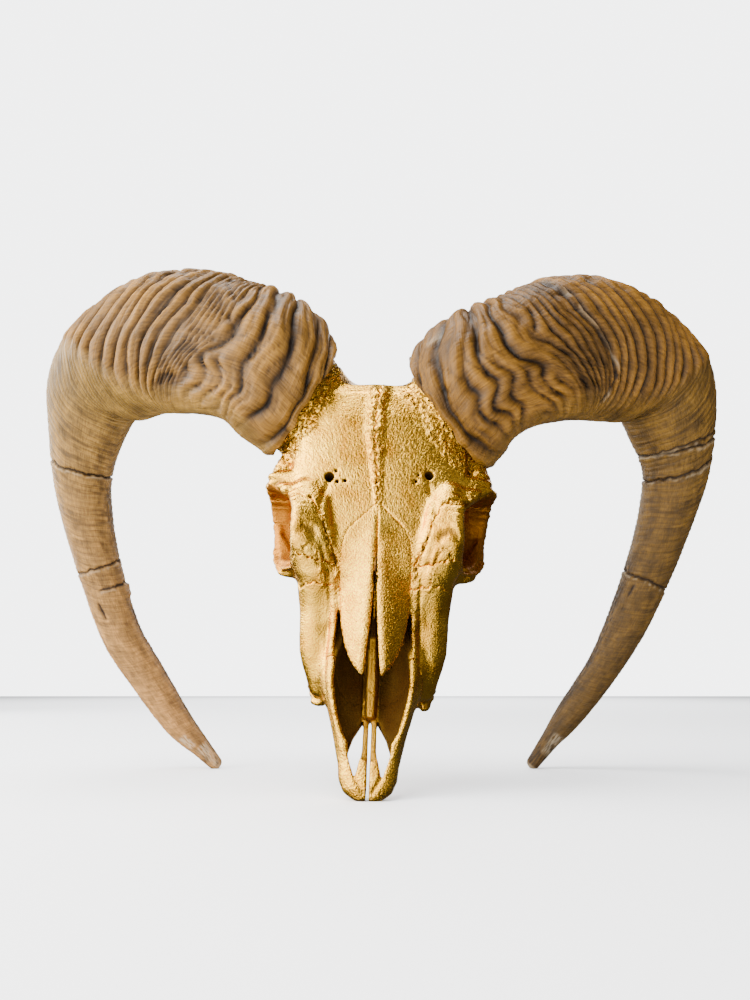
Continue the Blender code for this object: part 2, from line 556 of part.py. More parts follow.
def stand(mesh):
    """Turns a bone from the skull frame into its place."""
    points = np.empty(len(mesh.vertices) * 3)
    mesh.vertices.foreach_get("co", points)
    points = pose(points.reshape(-1, 3) / MM) * MM
    mesh.vertices.foreach_set("co", points.ravel())
    return mesh


def to_origin(mesh):
    points = np.empty(len(mesh.vertices) * 3)
    mesh.vertices.foreach_get("co", points)
    points = points.reshape(-1, 3) - np.asarray(ORIGIN) * MM
    mesh.vertices.foreach_set("co", points.ravel())
    mesh.update()
    return mesh


def build():
    for old in list(bpy.data.objects):
        bpy.data.objects.remove(old)
    bones = {name: stand(mesh) for name, mesh in part_bones(skull_mesh()).items()}
    bones["horn_left"] = mesh_of("horn_left", [horn(HORN_LEFT)])
    bones["horn_right"] = mesh_of("horn_right", [horn(HORN_RIGHT)])

    # everything below the resting level is trimmed, which leaves the four small flats
    ground = prism([(-400.0, -400.0), (400.0, -400.0), (400.0, 400.0), (-400.0, 400.0)], 2, -60.0, ORIGIN[2])
    for name in ("premaxilla_left", "premaxilla_right", "horn_left", "horn_right"):
        bones[name] = largest_piece(boolean(bones[name], [ground], "DIFFERENCE"))

    gold = material("gold paint on bone", BONE_COLOUR, 0.38, 0.85)
    keratin = material("horn sheath", HORN_COLOUR, 0.45, 0.0)
    for name, mesh in bones.items():
        mesh = to_origin(mesh)
        mesh.name = name
        mesh.materials.clear()
        mesh.materials.append(keratin if name.startswith("horn") else gold)
        mesh.shade_smooth()
        mesh.set_sharp_from_angle(angle=math.radians(35))
        add_object(name, mesh)


build()
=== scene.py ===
import math
import bpy
import numpy as np
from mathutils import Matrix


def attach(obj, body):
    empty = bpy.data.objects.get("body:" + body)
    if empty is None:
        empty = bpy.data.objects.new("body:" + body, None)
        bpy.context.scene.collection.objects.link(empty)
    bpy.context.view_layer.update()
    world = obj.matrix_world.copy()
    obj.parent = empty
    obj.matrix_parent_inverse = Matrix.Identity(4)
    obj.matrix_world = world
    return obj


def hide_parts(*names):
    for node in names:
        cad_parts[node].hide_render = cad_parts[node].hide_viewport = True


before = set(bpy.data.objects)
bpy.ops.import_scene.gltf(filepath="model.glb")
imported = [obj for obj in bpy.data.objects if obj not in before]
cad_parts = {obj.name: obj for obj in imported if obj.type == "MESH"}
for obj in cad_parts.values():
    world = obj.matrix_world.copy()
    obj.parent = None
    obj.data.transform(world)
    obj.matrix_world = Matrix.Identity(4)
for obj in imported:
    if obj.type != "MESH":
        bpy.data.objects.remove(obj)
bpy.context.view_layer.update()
print("frame loaded")

mm = 0.001
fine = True
stance = {"lean": 25.0, "roll": 2.2, "snoutX": -4.3, "origin": (5.1, 41.7, 0.35), "suture": -0.4}


def linearColour(code):  # sRGB hex to linear: ((c + 0.055) / 1.055) ^ 2.4 above the toe
    parts = [int(code[i:i + 2], 16) / 255 for i in (1, 3, 5)]
    return [c / 12.92 if c <= 0.04045 else ((c + 0.055) / 1.055) ** 2.4 for c in parts] + [1.0]


def setNode(tree, node, settings=None, links=None):
    # A setting is a property of the node, or else the value of a socket. A link comes from a socket, or from
    # the first output in use of a node. In a Mix node 0 is the share, 2 and 3 the numbers, 6 and 7 colours.
    for name, value in (settings or {}).items():
        if isinstance(name, str) and name in node.bl_rna.properties:
            setattr(node, name, value)
        else:
            node.inputs[name].default_value = value
    for name, source in (links or {}).items():
        if isinstance(source, bpy.types.Node):
            source = next(socket for socket in source.outputs if socket.enabled)
        tree.links.new(source, node.inputs[name])
    return node


def addNode(tree, kind, settings=None, links=None):  # one node with its settings and links
    return setNode(tree, tree.nodes.new("ShaderNode" + kind), settings, links)


def newLooks(name):  # a material, its node tree and its shader
    looks = bpy.data.materials.new(name)
    looks.use_nodes = True
    return looks, looks.node_tree, looks.node_tree.nodes["Principled BSDF"]


def step01(value, start, end):  # smooth step: t squared times (3 - 2t) between start and end
    t = np.clip((value - start) / (end - start), 0, 1)
    return t * t * (3 - 2 * t)


def fades(value, start, end):  # 1 less the smooth step
    return 1 - step01(value, start, end)


def hump(value, a, b, c, d):  # rises from a to b and fades from c to d
    return step01(value, a, b) * fades(value, c, d)


def bell(value, half, power=2):  # exp(-(value / half) ^ power)
    return np.exp(-(value / half) ** power)


def dot(way, x, s, h):  # how far x, s and h reach along a direction: the sum of the products
    return x * way[0] + s * way[1] + h * way[2]


def unit(v):  # each vector over its own length
    return v / np.maximum(np.linalg.norm(v, axis=-1, keepdims=True), 1e-9)


def curveThrough(rows, count):  # Catmull-Rom curve through the rows, read at equal steps of its length
    rows = np.asarray(rows, float)
    padded = np.vstack([2 * rows[0] - rows[1], rows, 2 * rows[-1] - rows[-2]])
    t = np.linspace(0, 1, 12, endpoint=False)[None, :, None]
    a, b, c, d = (padded[i:i + len(rows) - 1, None] for i in range(4))
    bends = (2 * a - 5 * b + 4 * c - d) * t ** 2 + (3 * b - a - 3 * c + d) * t ** 3
    dense = 0.5 * (2 * b + (c - a) * t + bends)
    dense = np.vstack([dense.reshape(-1, rows.shape[1]), rows[-1:]])
    run = np.r_[0, np.cumsum(np.linalg.norm(np.diff(dense[:, :3], axis=0), axis=1))]
    at = np.linspace(0, run[-1], count)
    return np.stack([np.interp(at, run, column) for column in dense.T], axis=1), at


def poseSkull(points):  # skull frame (x, s, h) in mm to row frame in metres: lean the palate back, roll, move
    x, s, h = points.T
    lean, roll = math.radians(stance["lean"]), math.radians(stance["roll"])
    y = s * math.sin(lean) - h * math.cos(lean)
    z = s * math.cos(lean) + h * math.sin(lean)
    side = x * math.cos(roll) + z * math.sin(roll) + stance["snoutX"]
    placed = np.stack([side, y, z * math.cos(roll) - x * math.sin(roll)], axis=1)
    return (placed - stance["origin"]) * mm


def unposeSkull(points):  # standing frame in mm back to the skull frame
    x, y, z = (np.asarray(points, float) - (stance["snoutX"], 0, 0)).T
    lean, roll = math.radians(stance["lean"]), math.radians(stance["roll"])
    side, up = x * math.cos(roll) - z * math.sin(roll), z * math.cos(roll) + x * math.sin(roll)
    s, h = up * math.cos(lean) + y * math.sin(lean), up * math.sin(lean) - y * math.cos(lean)
    return np.stack([side, s, h], axis=1)


lattice = np.random.default_rng(41).random((32, 32, 32)).astype(np.float32)


def blended(grid, base, share):  # values at each cell's eight corners, weighted by the share along each axis
    total = np.zeros(len(base))
    for corner in np.ndindex(2, 2, 2):
        part = [share[:, k] if corner[k] else 1 - share[:, k] for k in range(3)]
        at = [(base[:, k] + corner[k]) % grid.shape[k] for k in range(3)]
        total += part[0] * part[1] * part[2] * grid[at[0], at[1], at[2]]
    return total


def clumps(points, size, seed=0):  # value noise 0..1: random lattice values one size apart, blended smoothly
    p = np.asarray(points, float) / size + seed * 7.31
    base = np.floor(p).astype(int)
    return blended(lattice, base, step01(p - base, 0, 1))


def meshPiece(name, points, quads, attributes, looks):  # a smooth mesh; each attribute has a value a point
    mesh = bpy.data.meshes.new(name)
    mesh.vertices.add(len(points))
    mesh.vertices.foreach_set("co", np.ascontiguousarray(points, np.float32).ravel())
    mesh.loops.add(quads.size)
    mesh.loops.foreach_set("vertex_index", np.ascontiguousarray(quads, np.int32).ravel())
    mesh.polygons.add(len(quads))
    mesh.polygons.foreach_set("loop_start", np.arange(0, quads.size, 4, dtype=np.int32))
    mesh.polygons.foreach_set("loop_total", np.full(len(quads), 4, np.int32))
    mesh.update(calc_edges=True)
    mesh.validate()
    for key, value in attributes.items():
        kind, slot = ("FLOAT_VECTOR", "vector") if value.ndim == 2 else ("FLOAT", "value")
        layer = mesh.attributes.new(key, kind, "POINT")
        layer.data.foreach_set(slot, np.ascontiguousarray(value, np.float32).ravel())
    mesh.polygons.foreach_set("use_smooth", np.ones(len(quads), bool))
    mesh.materials.append(looks)
    piece = bpy.data.objects.new(name, mesh)
    bpy.context.scene.collection.objects.link(piece)
    return piece


# camera at the photo's viewing angle: low, tilted up, close to the skull
cameraSet = {"place": (-0.0051, -0.4017, 0.05665), "tilt": 107.6, "lens": 21.6, "sensor": 36.0, "near": 0.01}
camera = bpy.data.objects.new("camera", bpy.data.cameras.new("camera"))
camera.location = cameraSet["place"]
camera.rotation_euler = (math.radians(cameraSet["tilt"]), 0, 0)
camera.data.lens = cameraSet["lens"]
camera.data.sensor_width = cameraSet["sensor"]
camera.data.clip_start = cameraSet["near"]
bpy.context.scene.collection.objects.link(camera)
bpy.context.scene.camera = camera


# edges of the outline: degrees from the keel, half width, share of the edge's height
hornSet = {
    "stations": 540 if fine else 220, "around": 180 if fine else 90, "path": 700, "unrolled": 40,
    "front": (0.0, -360.0, 57.0), "depth": (0.78, 0.86), "slant": 0.27, "slantRun": 0.2, "rimSpacing": 11.0,
    "edge": 0.055, "edges": ((0, 26, 1), (-118, 30, 1), (-240, 34, 1), (-60, 30, -0.35), (60, 30, -0.35)),
    "lip": 3.2, "rimWall": 0.84, "rimDeep": 3.0, "ridge": 4.8, "wrinkle": 3.0, "growthLine": 0.13,
    "fibre": 0.07, "fold": 1.1, "cross": 0.35, "knot": 1.3, "swell": 0.5, "rib": 0.55, "lump": 0.25,
    "keelLip": 0.6, "baseLump": 1.3, "tipGrime": 0.75,
}
# size in mm and seed of each noise on a horn, and how it is squeezed round the horn and along it
hornNoise = {
    "wander": (16, 1, 1, 1), "faceEdge": (7, 2, 1, 1), "ridge": (9, 3, 1, 0.6), "knot": (5, 4, 1, 0.8),
    "swell": (7, 5, 0.2, 1), "growthLine": (6, 6, 0.3, 0.3), "fibre": (2, 7, 1, 0.3), "lump": (5, 8, 1, 1),
    "jag": (7, 9, 1, 1), "grain": (2.2, 10, 1, 0.8), "crease": (3.5, 11, 0.25, 0.12), "lip": (9, 15, 1, 1),
    "creaseHeight": (9, 12, 1, 1), "foldLine": (3.5, 13, 0.2, 0.2), "streak": (2, 14, 0.16, 1),
    "cross": (6.5, 16, 1, 0.5), "rib": (9, 17, 0.3, 0.3), "crackLip": (4, 18, 1, 1),
    "tipGrime": (4.5, 23, 1, 1),
    "foldPatch": (8, 19, 0.6, 0.6), "baseLump": (7, 20, 1, 0.8), "fineJag": (2.1, 21, 1, 1),
}
# what changes along a horn: arc in mm, and the value there
hornRuns = {
    "wander": [(0, 1), (60, 0.8), (100, 0.35), (500, 0.5)],
    "backEdge": [(0, 110), (130, 130), (180, 235), (500, 245)],
    "strength": [(0, 0.8), (30, 0.95), (60, 0.75), (75, 1), (150, 1), (230, 0.6), (330, 0.35), (430, 0.2),
                 (500, 0.1)],
    "rib": [(0, 0.1), (90, 0.35), (150, 1), (260, 0.9), (360, 0.5), (500, 0.25)],
    "ribShade": [(0, 0.2), (90, 0.6), (150, 1), (360, 0.7), (500, 0.4)],
    "streak": [(0, 0), (140, 0), (175, 1), (260, 1), (330, 0.6), (500, 0.4)],
}
phiKnots = (-150, -60, 0, 30, 60, 90, 120, 150, 210)
# one dictionary for each horn: path rows are x, y, z, half breadth;
# growth lines are a number, then the arc length at each angle of phiKnots
horns = {
    "left": {
        "path": [(-48, -6, 237, 39.5), (-65, -18, 252, 45.5), (-85, -22, 263, 44), (-112, -18, 272, 45),
            (-142, -6, 277, 45), (-172, 10, 274, 41), (-197, 25, 262, 34), (-209, 41, 238, 26),
            (-215, 56, 208, 20), (-213, 71, 176, 17), (-205, 88, 138, 15), (-192, 104, 98, 14),
            (-174, 117, 68, 13), (-151, 130, 34, 10.5), (-134, 136, 16, 7), (-121, 138, 3.1, 4.5)],
        "lines": [(0, 18, 28, 28, 22, 15, 8, 8, 12, 18), (1, 32, 33, 33, 31, 28, 27, 28, 38, 32),
            (2, 44, 40, 40, 40, 40, 41, 46, 58, 44), (3, 56, 44, 44, 45, 48, 55, 77, 90, 56),
            (8, 70, 53, 53, 56, 61, 71, 94, 104, 70), (9, 76, 58, 57, 61, 68, 82, 101, 109, 76),
            (10, 84, 62, 61, 66, 76, 94, 108, 114, 84), (12, 104, 82, 80, 85, 100, 122, 132, 136, 104),
            (14, 128, 102, 100, 107, 134, 152, 160, 164, 128),
            (16, 150, 126, 122, 140, 161, 172, 178, 182, 150),
            (17, 162, 144, 141, 157, 172, 180, 186, 190, 162),
            (27, 255, 240, 240, 246, 252, 256, 258, 260, 255),
            (70, 500, 495, 495, 497, 500, 502, 504, 505, 500)],
        "creased": (2.6, 8.3), "keel": [(0, 155), (8, 154), (95, 134), (129, 102), (144, 74), (158, 43),
            (168, 8), (180, -20), (220, -50), (500, -60)],
        "cracks": [  # phi and arc along the crack, depth, half width, first and last phi
            ([(-60, 229), (0, 232), (83, 238), (180, 244), (260, 247)], 2.2, 0.8, -40, 235), ([(-60, 314),
                (0, 313), (92, 311), (180, 310), (260, 309)], 1.8, 0.7, -50, 230), ([(-60, 326), (60, 328),
                (180, 328), (260, 327)], 0.9, 0.8, 70, 235)],
        "splits": [(60, 335, 352, 0.9)],          # lengthwise crack: phi, first and last arc, depth
        "chip": (180, 55, 329, 342, 1.5),         # middle phi, reach, first and last arc, height
        "strip": [(165, 30, 245, 305, 0.7), (176, 26, 345, 485, 1.0)],   # dark: phi, reach, arcs, strength
        "pale": [(100, 40, 470, 488, 0.35), (60, 20, 455, 466, 0.4)],
    },
    "right": {
        "path": [(49, -6, 228, 41.5), (63, -18, 242, 43.5), (84, -22, 254, 42), (112, -18, 266, 45),
            (142, -6, 274, 46), (174, 10, 274, 43), (203, 25, 264, 35.5), (216, 42, 240, 29.5),
            (222, 56, 214, 23), (219, 71, 186, 19.5), (209, 87, 150, 17), (194, 104, 110, 15),
            (175, 118, 74, 12), (150, 130, 40, 10), (134, 136, 20, 6.5), (120, 138, 3.1, 4.5)],
        "lines": [(0, 10, 22, 22, 14, 3, -3, -2, 3, 10), (1, 22, 31, 31, 27, 20, 12, 11, 14, 22),
            (2, 46, 38, 38, 37, 36, 37, 48, 60, 46), (3, 58, 45, 45, 45, 46, 51, 72, 84, 58),
            (4, 66, 51, 51, 52, 55, 62, 86, 96, 66), (9, 82, 70, 70, 74, 79, 93, 105, 108, 82),
            (10, 90, 76, 76, 80, 87, 103, 111, 114, 90), (12, 106, 86, 86, 92, 104, 120, 128, 132, 106),
            (14, 128, 104, 104, 110, 130, 146, 154, 158, 128),
            (16, 150, 124, 124, 138, 155, 166, 172, 176, 150),
            (18, 170, 148, 148, 162, 173, 180, 185, 188, 170),
            (28, 262, 246, 246, 250, 256, 260, 262, 264, 262),
            (72, 508, 500, 500, 504, 506, 508, 510, 512, 508)],
        "creased": (3.2, 9.3), "keel": [(0, 155), (57, 151), (90, 136), (138, 124), (169, 98), (178, 60),
            (183, 10), (195, -20), (230, -50), (500, -60)],
        "cracks": [([(-60, 219), (0, 221), (90, 226), (180, 236), (260, 238)], 1.5, 0.6, -30, 215),
            ([(-60, 225), (0, 226), (80, 229), (150, 232), (260, 236)], 2.2, 0.7, -40, 190), ([(-60, 234),
            (0, 236), (80, 249), (150, 257), (260, 259)], 2.2, 0.8, -40, 230), ([(-60, 335), (0, 334),
            (80, 331), (180, 331), (260, 332)], 2.0, 0.8, -50, 235), ([(0, 71), (20, 73), (56, 78),
            (86, 92), (105, 105), (134, 99)], 1.3, 0.7, 0, 136)],
        "splits": [(110, 336, 350, 0.7)],
        "chip": (0, 30, 334, 338, -1.6),
        "strip": [(165, 28, 243, 262, 0.9), (168, 34, 322, 462, 1.0)],
        "pale": [(60, 34, 468, 486, 0.25), (33, 4, 16, 20, 0.15)],
    },
}


def turnGap(a, b):  # signed angle from b to a in degrees, -180..180
    return (a - b + 180) % 360 - 180


def hornAxes(path, count):  # at each station: centre, unit axes along, across and front, half breadth, arc
    rows, arc = curveThrough(path, count)
    centre = rows[:, :3]
    along = unit(np.gradient(centre, axis=0))
    front = unit(np.asarray(hornSet["front"]) - centre)
    across = unit(np.cross(along, front))
    across *= np.sign(np.sum(across[0] * (-centre[0, 0], 0, -1)))
    front = unit(front - along * np.sum(front * along, axis=1)[:, None])
    return centre, along, across, front, rows[:, 3], arc


def hornGrid(about, length):
    # At each point of the grid: angle, arc, count of growth lines, room for a line, and the count in mm.
    # The grid's rows run along the growth lines, so that a ridge or a fold lies along its rows.
    around, early = hornSet["around"], hornSet["rimSpacing"]
    phi = phiKnots[0] + np.arange(around) * 360 / around
    lines = np.array(about["lines"], float)
    number = lines[:, 0]
    # arc of each line at each phi
    marks = np.stack([np.interp(phi, phiKnots, row) for row in lines[:, 1:]])
    rows = np.vstack([0 * phi, np.maximum(marks[:-1], 1.0), length + 0 * phi])
    rows = np.maximum.accumulate(rows + 0.2 * np.arange(len(rows))[:, None], axis=0)
    rows *= length / rows[-1]
    even = np.linspace(0, length, hornSet["stations"])
    arcs = np.stack([np.interp(even, rows.mean(1), column) for column in rows.T], axis=1)
    arcs[0] = 0
    count = np.stack([np.interp(arc, mark, number) for arc, mark in zip(arcs.T, marks.T)], axis=1)
    count += np.minimum(arcs - marks[0], 0) / early
    spacing = np.stack([np.interp(arc, (mark[1:] + mark[:-1]) / 2, np.diff(mark) / np.diff(number))
                        for arc, mark in zip(arcs.T, marks.T)], axis=1)
    grown = np.interp(count, number, marks[:, int(0.6 * around)]) + np.minimum(count, 0) * early
    return phi + 0 * arcs, arcs, count, spacing, grown


def hornOutline(keel, run, angle):  # x and y of a circle with three soft edges, and flatter between them
    form = 1
    for turn, width, share in hornSet["edges"]:
        form = form + share * hornSet["edge"] * (1 - 0.5 * run) * bell(turnGap(angle, keel + turn), width)
    return form * np.cos(np.radians(angle)), form * np.sin(np.radians(angle))


def hornSurface(about):
    # Sheath: a three-edged section carried along the curl. Each point = centre + (across + slant * along) * X
    # + front * Y + outward * height. The height is ridges of |cos(pi g)| ^ 0.6, where g counts the growth
    # lines, less cracks.
    around = hornSet["around"]
    axes = hornAxes(about["path"], hornSet["path"])
    arc, length = axes[5], axes[5][-1]
    phis, arcs, count, spacing, grown = hornGrid(about, length)
    run, shape = arcs / length, arcs.shape
    centre, along, across, front = (np.stack([np.interp(arcs, arc, column) for column in part.T], -1)
                                    for part in axes[:4])
    breadth = np.interp(arcs, arc, axes[4])
    keelAlong, keel = (np.interp(where, *np.array(about["keel"]).T) for where in (arc, arcs))
    plainWide, _ = hornOutline(keelAlong[:, None], arc[:, None] / length, phis[:1])
    top, bottom = np.interp(arcs, arc, plainWide.max(1)), np.interp(arcs, arc, plainWide.min(1))
    wide, tall = hornOutline(keel, run, phis)
    wide = (wide - (top + bottom) / 2) / ((top - bottom) / 2)
    depth = breadth * (hornSet["depth"][0] + (hornSet["depth"][1] - hornSet["depth"][0]) * run)
    slant = hornSet["slant"] * np.maximum(0, 1 - run / hornSet["slantRun"])
    tilted = across + slant[..., None] * along
    base = centre + tilted * (breadth * wide)[..., None] + front * (depth * tall)[..., None]

    ring = [np.cos(np.radians(phis)) * hornSet["unrolled"], np.sin(np.radians(phis)) * hornSet["unrolled"]]
    sheath, flow = (np.stack(ring + [last], -1).reshape(-1, 3) for last in (arcs, grown))

    def lumps(word, way=sheath):  # a noise on the sheath, squeezed as its row says
        size, seed, squeeze, squeezeAlong = hornNoise[word]
        return clumps(way * (squeeze, squeeze, squeezeAlong), size, seed).reshape(shape)

    def alongRun(word):  # a value that changes along the horn
        return np.interp(arcs, *np.array(hornRuns[word]).T)

    g = count + (lumps("wander") - 0.5) * alongRun("wander")
    # where one growth line takes the room of two or more, three ridges fan out of it
    fanned = step01(spacing, 15, 22) * step01(count, 0.6, 1.4)
    crest = np.abs(np.cos(np.pi * g)) ** 0.6
    crest += (np.abs(np.cos(3 * np.pi * g)) ** 0.7 - crest) * fanned
    first, last = about["creased"]
    creased = hump(g, first - 0.3, first + 0.5, last - 0.6, last + 0.3)
    past = (phis - keel) % 360                       # degrees past the keel: the smooth face, then the back
    past = np.where(past > 345, past - 360, past)
    backEdge = alongRun("backEdge")
    plain = hump(past, -36 + 30 * (lumps("faceEdge") - 0.5), 22, backEdge, backEdge + 18)
    ridged, strength = 1 - plain, alongRun("strength")
    height = hornSet["ridge"] * strength * ridged * (crest - 0.75) * (1 - creased)
    height *= 0.65 + 0.7 * lumps("ridge")
    sharp = np.abs(np.cos(np.pi * (g + 1.1 * lumps("crease")))) ** 0.55
    height += hornSet["wrinkle"] * creased * ridged * (sharp - 0.95) * (0.7 + 0.8 * lumps("creaseHeight"))
    finer = np.abs(np.cos(np.pi * (2.6 * g + 1.7 * lumps("foldLine"))))
    fold = step01(lumps("foldPatch"), 0.3, 0.6) * ridged * fades(arcs, 85, 140)
    height -= hornSet["fold"] * fold * (1 - finer) ** 1.5
    height -= hornSet["cross"] * ridged * step01(1 - np.abs(2 * lumps("cross") - 1), 0.8, 1.0)
    knots = hump(turnGap(phis, keel - 100), -40, -14, -10, 10) * hump(arcs, 62, 75, 150, 170)
    height -= hornSet["knot"] * knots * ridged * step01(lumps("knot"), 0.45, 0.7)
    height += hornSet["swell"] * plain * (lumps("swell", flow) - 0.5)
    ribs = np.abs(np.cos(np.pi * (grown / 4.6 + 1.2 * lumps("rib"))))
    height += hornSet["rib"] * plain * alongRun("rib") * (ribs - 0.8)
    height += hornSet["growthLine"] * plain * np.sin(2 * np.pi * (grown / 1.9 + 1.5 * lumps("growthLine")))
    height += hornSet["fibre"] * (lumps("fibre", flow) - 0.5) * (0.5 + 0.8 * ridged)
    height += hornSet["lump"] * (lumps("lump") - 0.5)
    height += hornSet["keelLip"] * bell(past, 5) * hump(arcs, 10, 40, 70, 110)
    height += hornSet["baseLump"] * ridged * fades(arcs, 60, 90) * (lumps("baseLump") - 0.5)

    dark, pale = np.zeros(shape), np.zeros(shape)
    jag = (lumps("jag") - 0.5) * 2.6 + (lumps("fineJag") - 0.5) * 1.3
    crackLip = step01(lumps("crackLip"), 0.35, 0.6)
    # each crack and split is darkened along its line: painted shade in the crack
    for points, deep, half, first, last in about["cracks"]:
        known = np.array(points, float)
        there = np.where(phis < known[0, 0], phis + 360, phis)
        off = arcs - np.interp(there, known[:, 0], known[:, 1]) + jag
        span = hump(there, first - 4, first + 10, last - 10, last + 4)
        height += (0.35 * bell(off - 2.2, 1.6) - deep * bell(off, half)) * span
        dark = np.maximum(dark, bell(off, half * 1.5) * span)
        pale = np.maximum(pale, 0.15 * bell(off - 2.0, 0.9) * span * crackLip)
    for at, first, last, deep in about["splits"]:
        off = turnGap(phis, at + (arcs - first) * 0.4) * breadth * math.pi / 180 + 0.5 * jag
        span = hump(arcs, first, first + 3, last - 4, last)
        height -= deep * bell(off, 0.7) * span
        dark = np.maximum(dark, bell(off, 0.9) * span)
    at, reach, first, last, rise = about["chip"]
    height += rise * hump(arcs, first, first + 1.5, last - 4, last) * bell(turnGap(phis, at), reach)
    grain = lumps("grain")
    for at, reach, first, last, power in about["strip"]:
        span = hump(arcs, first - 6, first + 6, last - 8, last + 4)
        band = power * bell(turnGap(phis, at), reach, 4) * span
        dark = np.maximum(dark, 0.9 * band * step01(grain, 0.25, 0.6))
        height -= 0.5 * band * step01(grain, 0.45, 0.75)
    for at, reach, first, last, power in about["pale"]:
        spot = power * bell(turnGap(phis, at), reach, 4) * hump(arcs, first - 1, first + 2, last, last + 3)
        pale = np.maximum(pale, spot * step01(grain, 0.3, 0.6))
    # darkening: painted shade in the furrows of ridges, creases, folds and ribs, and real grime near the tip
    # and in streaks
    for grimeAndShade in (0.25 * creased * ridged * step01(0.4 - sharp, 0.0, 0.4),
                  0.5 * (1 - creased) * ridged * strength * step01(0.5 - crest, 0.0, 0.4),
                  0.4 * fold * step01(0.4 - finer, 0.0, 0.35),
                  0.35 * plain * step01(0.75 - ribs, 0.1, 0.7) * alongRun("ribShade"),
                  hornSet["tipGrime"] * step01(arcs, 455, 485) * step01(lumps("tipGrime"), 0.45, 0.6),
                  0.5 * plain * alongRun("streak") * step01(lumps("streak", flow), 0.5, 0.8)):
        dark = np.maximum(dark, grimeAndShade)

    outward = unit(front * np.sin(np.radians(phis))[..., None] + across * np.cos(np.radians(phis))[..., None])
    jagged = (0.25 + 0.75 * step01(lumps("lip"), 0.2, 0.8)) * np.clip(1 - arcs / 9, 0, 1)
    rolled = 0.8 * np.sin(np.pi * np.clip(arcs / 5, 0, 1)) - 1.6 * fades(arcs, 0, 3.0)
    skin = base + outward * (height + rolled)[..., None] - along * (hornSet["lip"] * jagged)[..., None]
    # the open end: a lip that turns in, a short wall and a floor; the tip: rings that close on a point
    hub, wayIn, wayOut = axes[0][0], axes[1][0] * hornSet["rimDeep"], axes[1][-1]
    inner = hub + (skin[0] - hub) * hornSet["rimWall"]
    deep = inner + wayIn
    floorRing = hub + wayIn + (deep - hub - wayIn) * 0.5
    tip = axes[0][-1] + wayOut * axes[4][-1] * 0.6
    caps = [tip + (skin[-1] - axes[0][-1]) * size - wayOut * back for size, back in ((0.8, 0.9), (0.45, 0.0))]
    rings = np.concatenate([[floorRing, deep, inner], skin, caps])
    points = np.vstack([rings.reshape(-1, 3), hub + wayIn, tip + wayOut * 0.5])
    total, turn = len(rings), np.arange(around)
    a, b = (np.arange(total - 1)[:, None] * around + way for way in (turn, (turn + 1) % around))
    quads = [np.stack([a, b, b + around, a + around], -1).reshape(-1, 4)]
    for pole, ring, way in ((total * around, turn, -1), (total * around + 1, (total - 1) * around + turn, 1)):
        i, j = ring[0::2], ring[1::2]               # a quad: pole, ring point, next, and the one after
        quads.append(np.stack([np.full(len(i), pole), i, j, np.roll(i, -1)], 1)[:, ::way])

    def spread(value, start, end):  # adds the cap rings and the two poles to a value known on the skin
        full = np.concatenate([np.full((3, around), start), value, np.full((2, around), end)])
        return np.r_[full.ravel(), start, end]
    ways = flow.reshape(shape + (3,))
    ways = np.concatenate([ways[:1]] * 3 + [ways] + [ways[-1:]] * 2).reshape(-1, 3)
    # relief and dark carry painted shade into the furrows, the cracks and the hollow open end; dark also
    # carries real strips, streaks and grime at the tip
    values = {
        "relief": spread(np.clip(0.68 + height / 6, 0, 1), 0.2, 0.5), "orbital": spread(plain, 0.0, 1.0),
        "dark": spread(np.clip(dark, 0, 1), 0.9, 0.0), "pale": spread(np.clip(pale, 0, 1), 0.0, 0.2),
        "along": spread(run, 0.0, 1.0), "grain": np.vstack([ways, (0, 0, 0), (0, 0, length)]) * mm}
    return points, np.vstack(quads), values


def turnedOut(points, quads):  # reverses every quad when the enclosed volume comes out negative
    a, b, c, d = np.moveaxis(points[quads], 1, 0)
    volume = np.sum((np.cross(b - a, c - a) + np.cross(c - a, d - a)) * a)
    return quads[:, ::-1] if volume < 0 else quads


# the skull is a distance field in the skull frame: x across, s along the palate, h above it, in mm
skullSet = {
    "step": 0.91 if fine else 1.5, "low": (-82.0, -6.0, -15.0), "high": (82.0, 253.0, 134.0),
    "round": 4.0, "coral": 0.8, "browJag": 2.0, "ridge": 1.5, "stipple": 0.16, "sutureDip": 0.1,
    "unevenness": 0.4, "fineUnevenness": 0.08, "leftShare": 0.96, "rimStart": 47.0, "rimShare": 0.888,
    "seamHalf": 1.3, "lacrimalSeamHalf": 1.9, "nasalSeamHalf": 1.1,
}
# lofts along the skull: s, lower and upper edge, half width below and above
face = [(-2, 2, 8, 8, 6), (3, -0.8, 11, 14.5, 12), (9, -1.5, 13, 17.2, 15), (16, -1.5, 15.5, 17.5, 16.5),
    (25, -1.5, 19.5, 20, 19.5), (35, -1, 25, 22.5, 23), (45, -1.5, 30, 26, 25.5), (53, -3, 35, 31.5, 26.5),
    (60, -5, 38.5, 37, 26.5), (68, -5, 42.5, 40, 25.5), (76, -5, 47, 42.5, 24.5), (86, -4, 53, 44.5, 24.5),
    (98, -3, 58.5, 45, 25.5), (110, -2, 63.5, 43.5, 28), (122, 0, 66, 39, 33), (134, 4, 70, 32, 35),
    (146, 10, 72, 25, 30)]
braincase = [(128, 28, 68, 19, 20), (150, 26, 84, 21, 25), (170, 27, 98, 24, 30), (190, 28, 110, 32, 36),
    (205, 28, 116, 37, 38), (220, 30, 111, 38, 37), (234, 32, 97, 37, 34), (243, 36, 85, 33, 29),
    (249, 44, 75, 24, 21)]
forehead = [(104, 44, 65, 34, 25), (116, 52, 72, 39, 29), (128, 62, 79.5, 42, 35), (140, 70, 87, 45, 41),
    (150, 74, 93.3, 50, 46), (158, 77, 98.5, 57, 50), (170, 80, 106, 58, 50), (185, 84, 115.5, 56, 50),
    (200, 88, 122, 52, 48), (210, 88, 120.5, 46, 42), (220, 84, 113, 40, 35)]
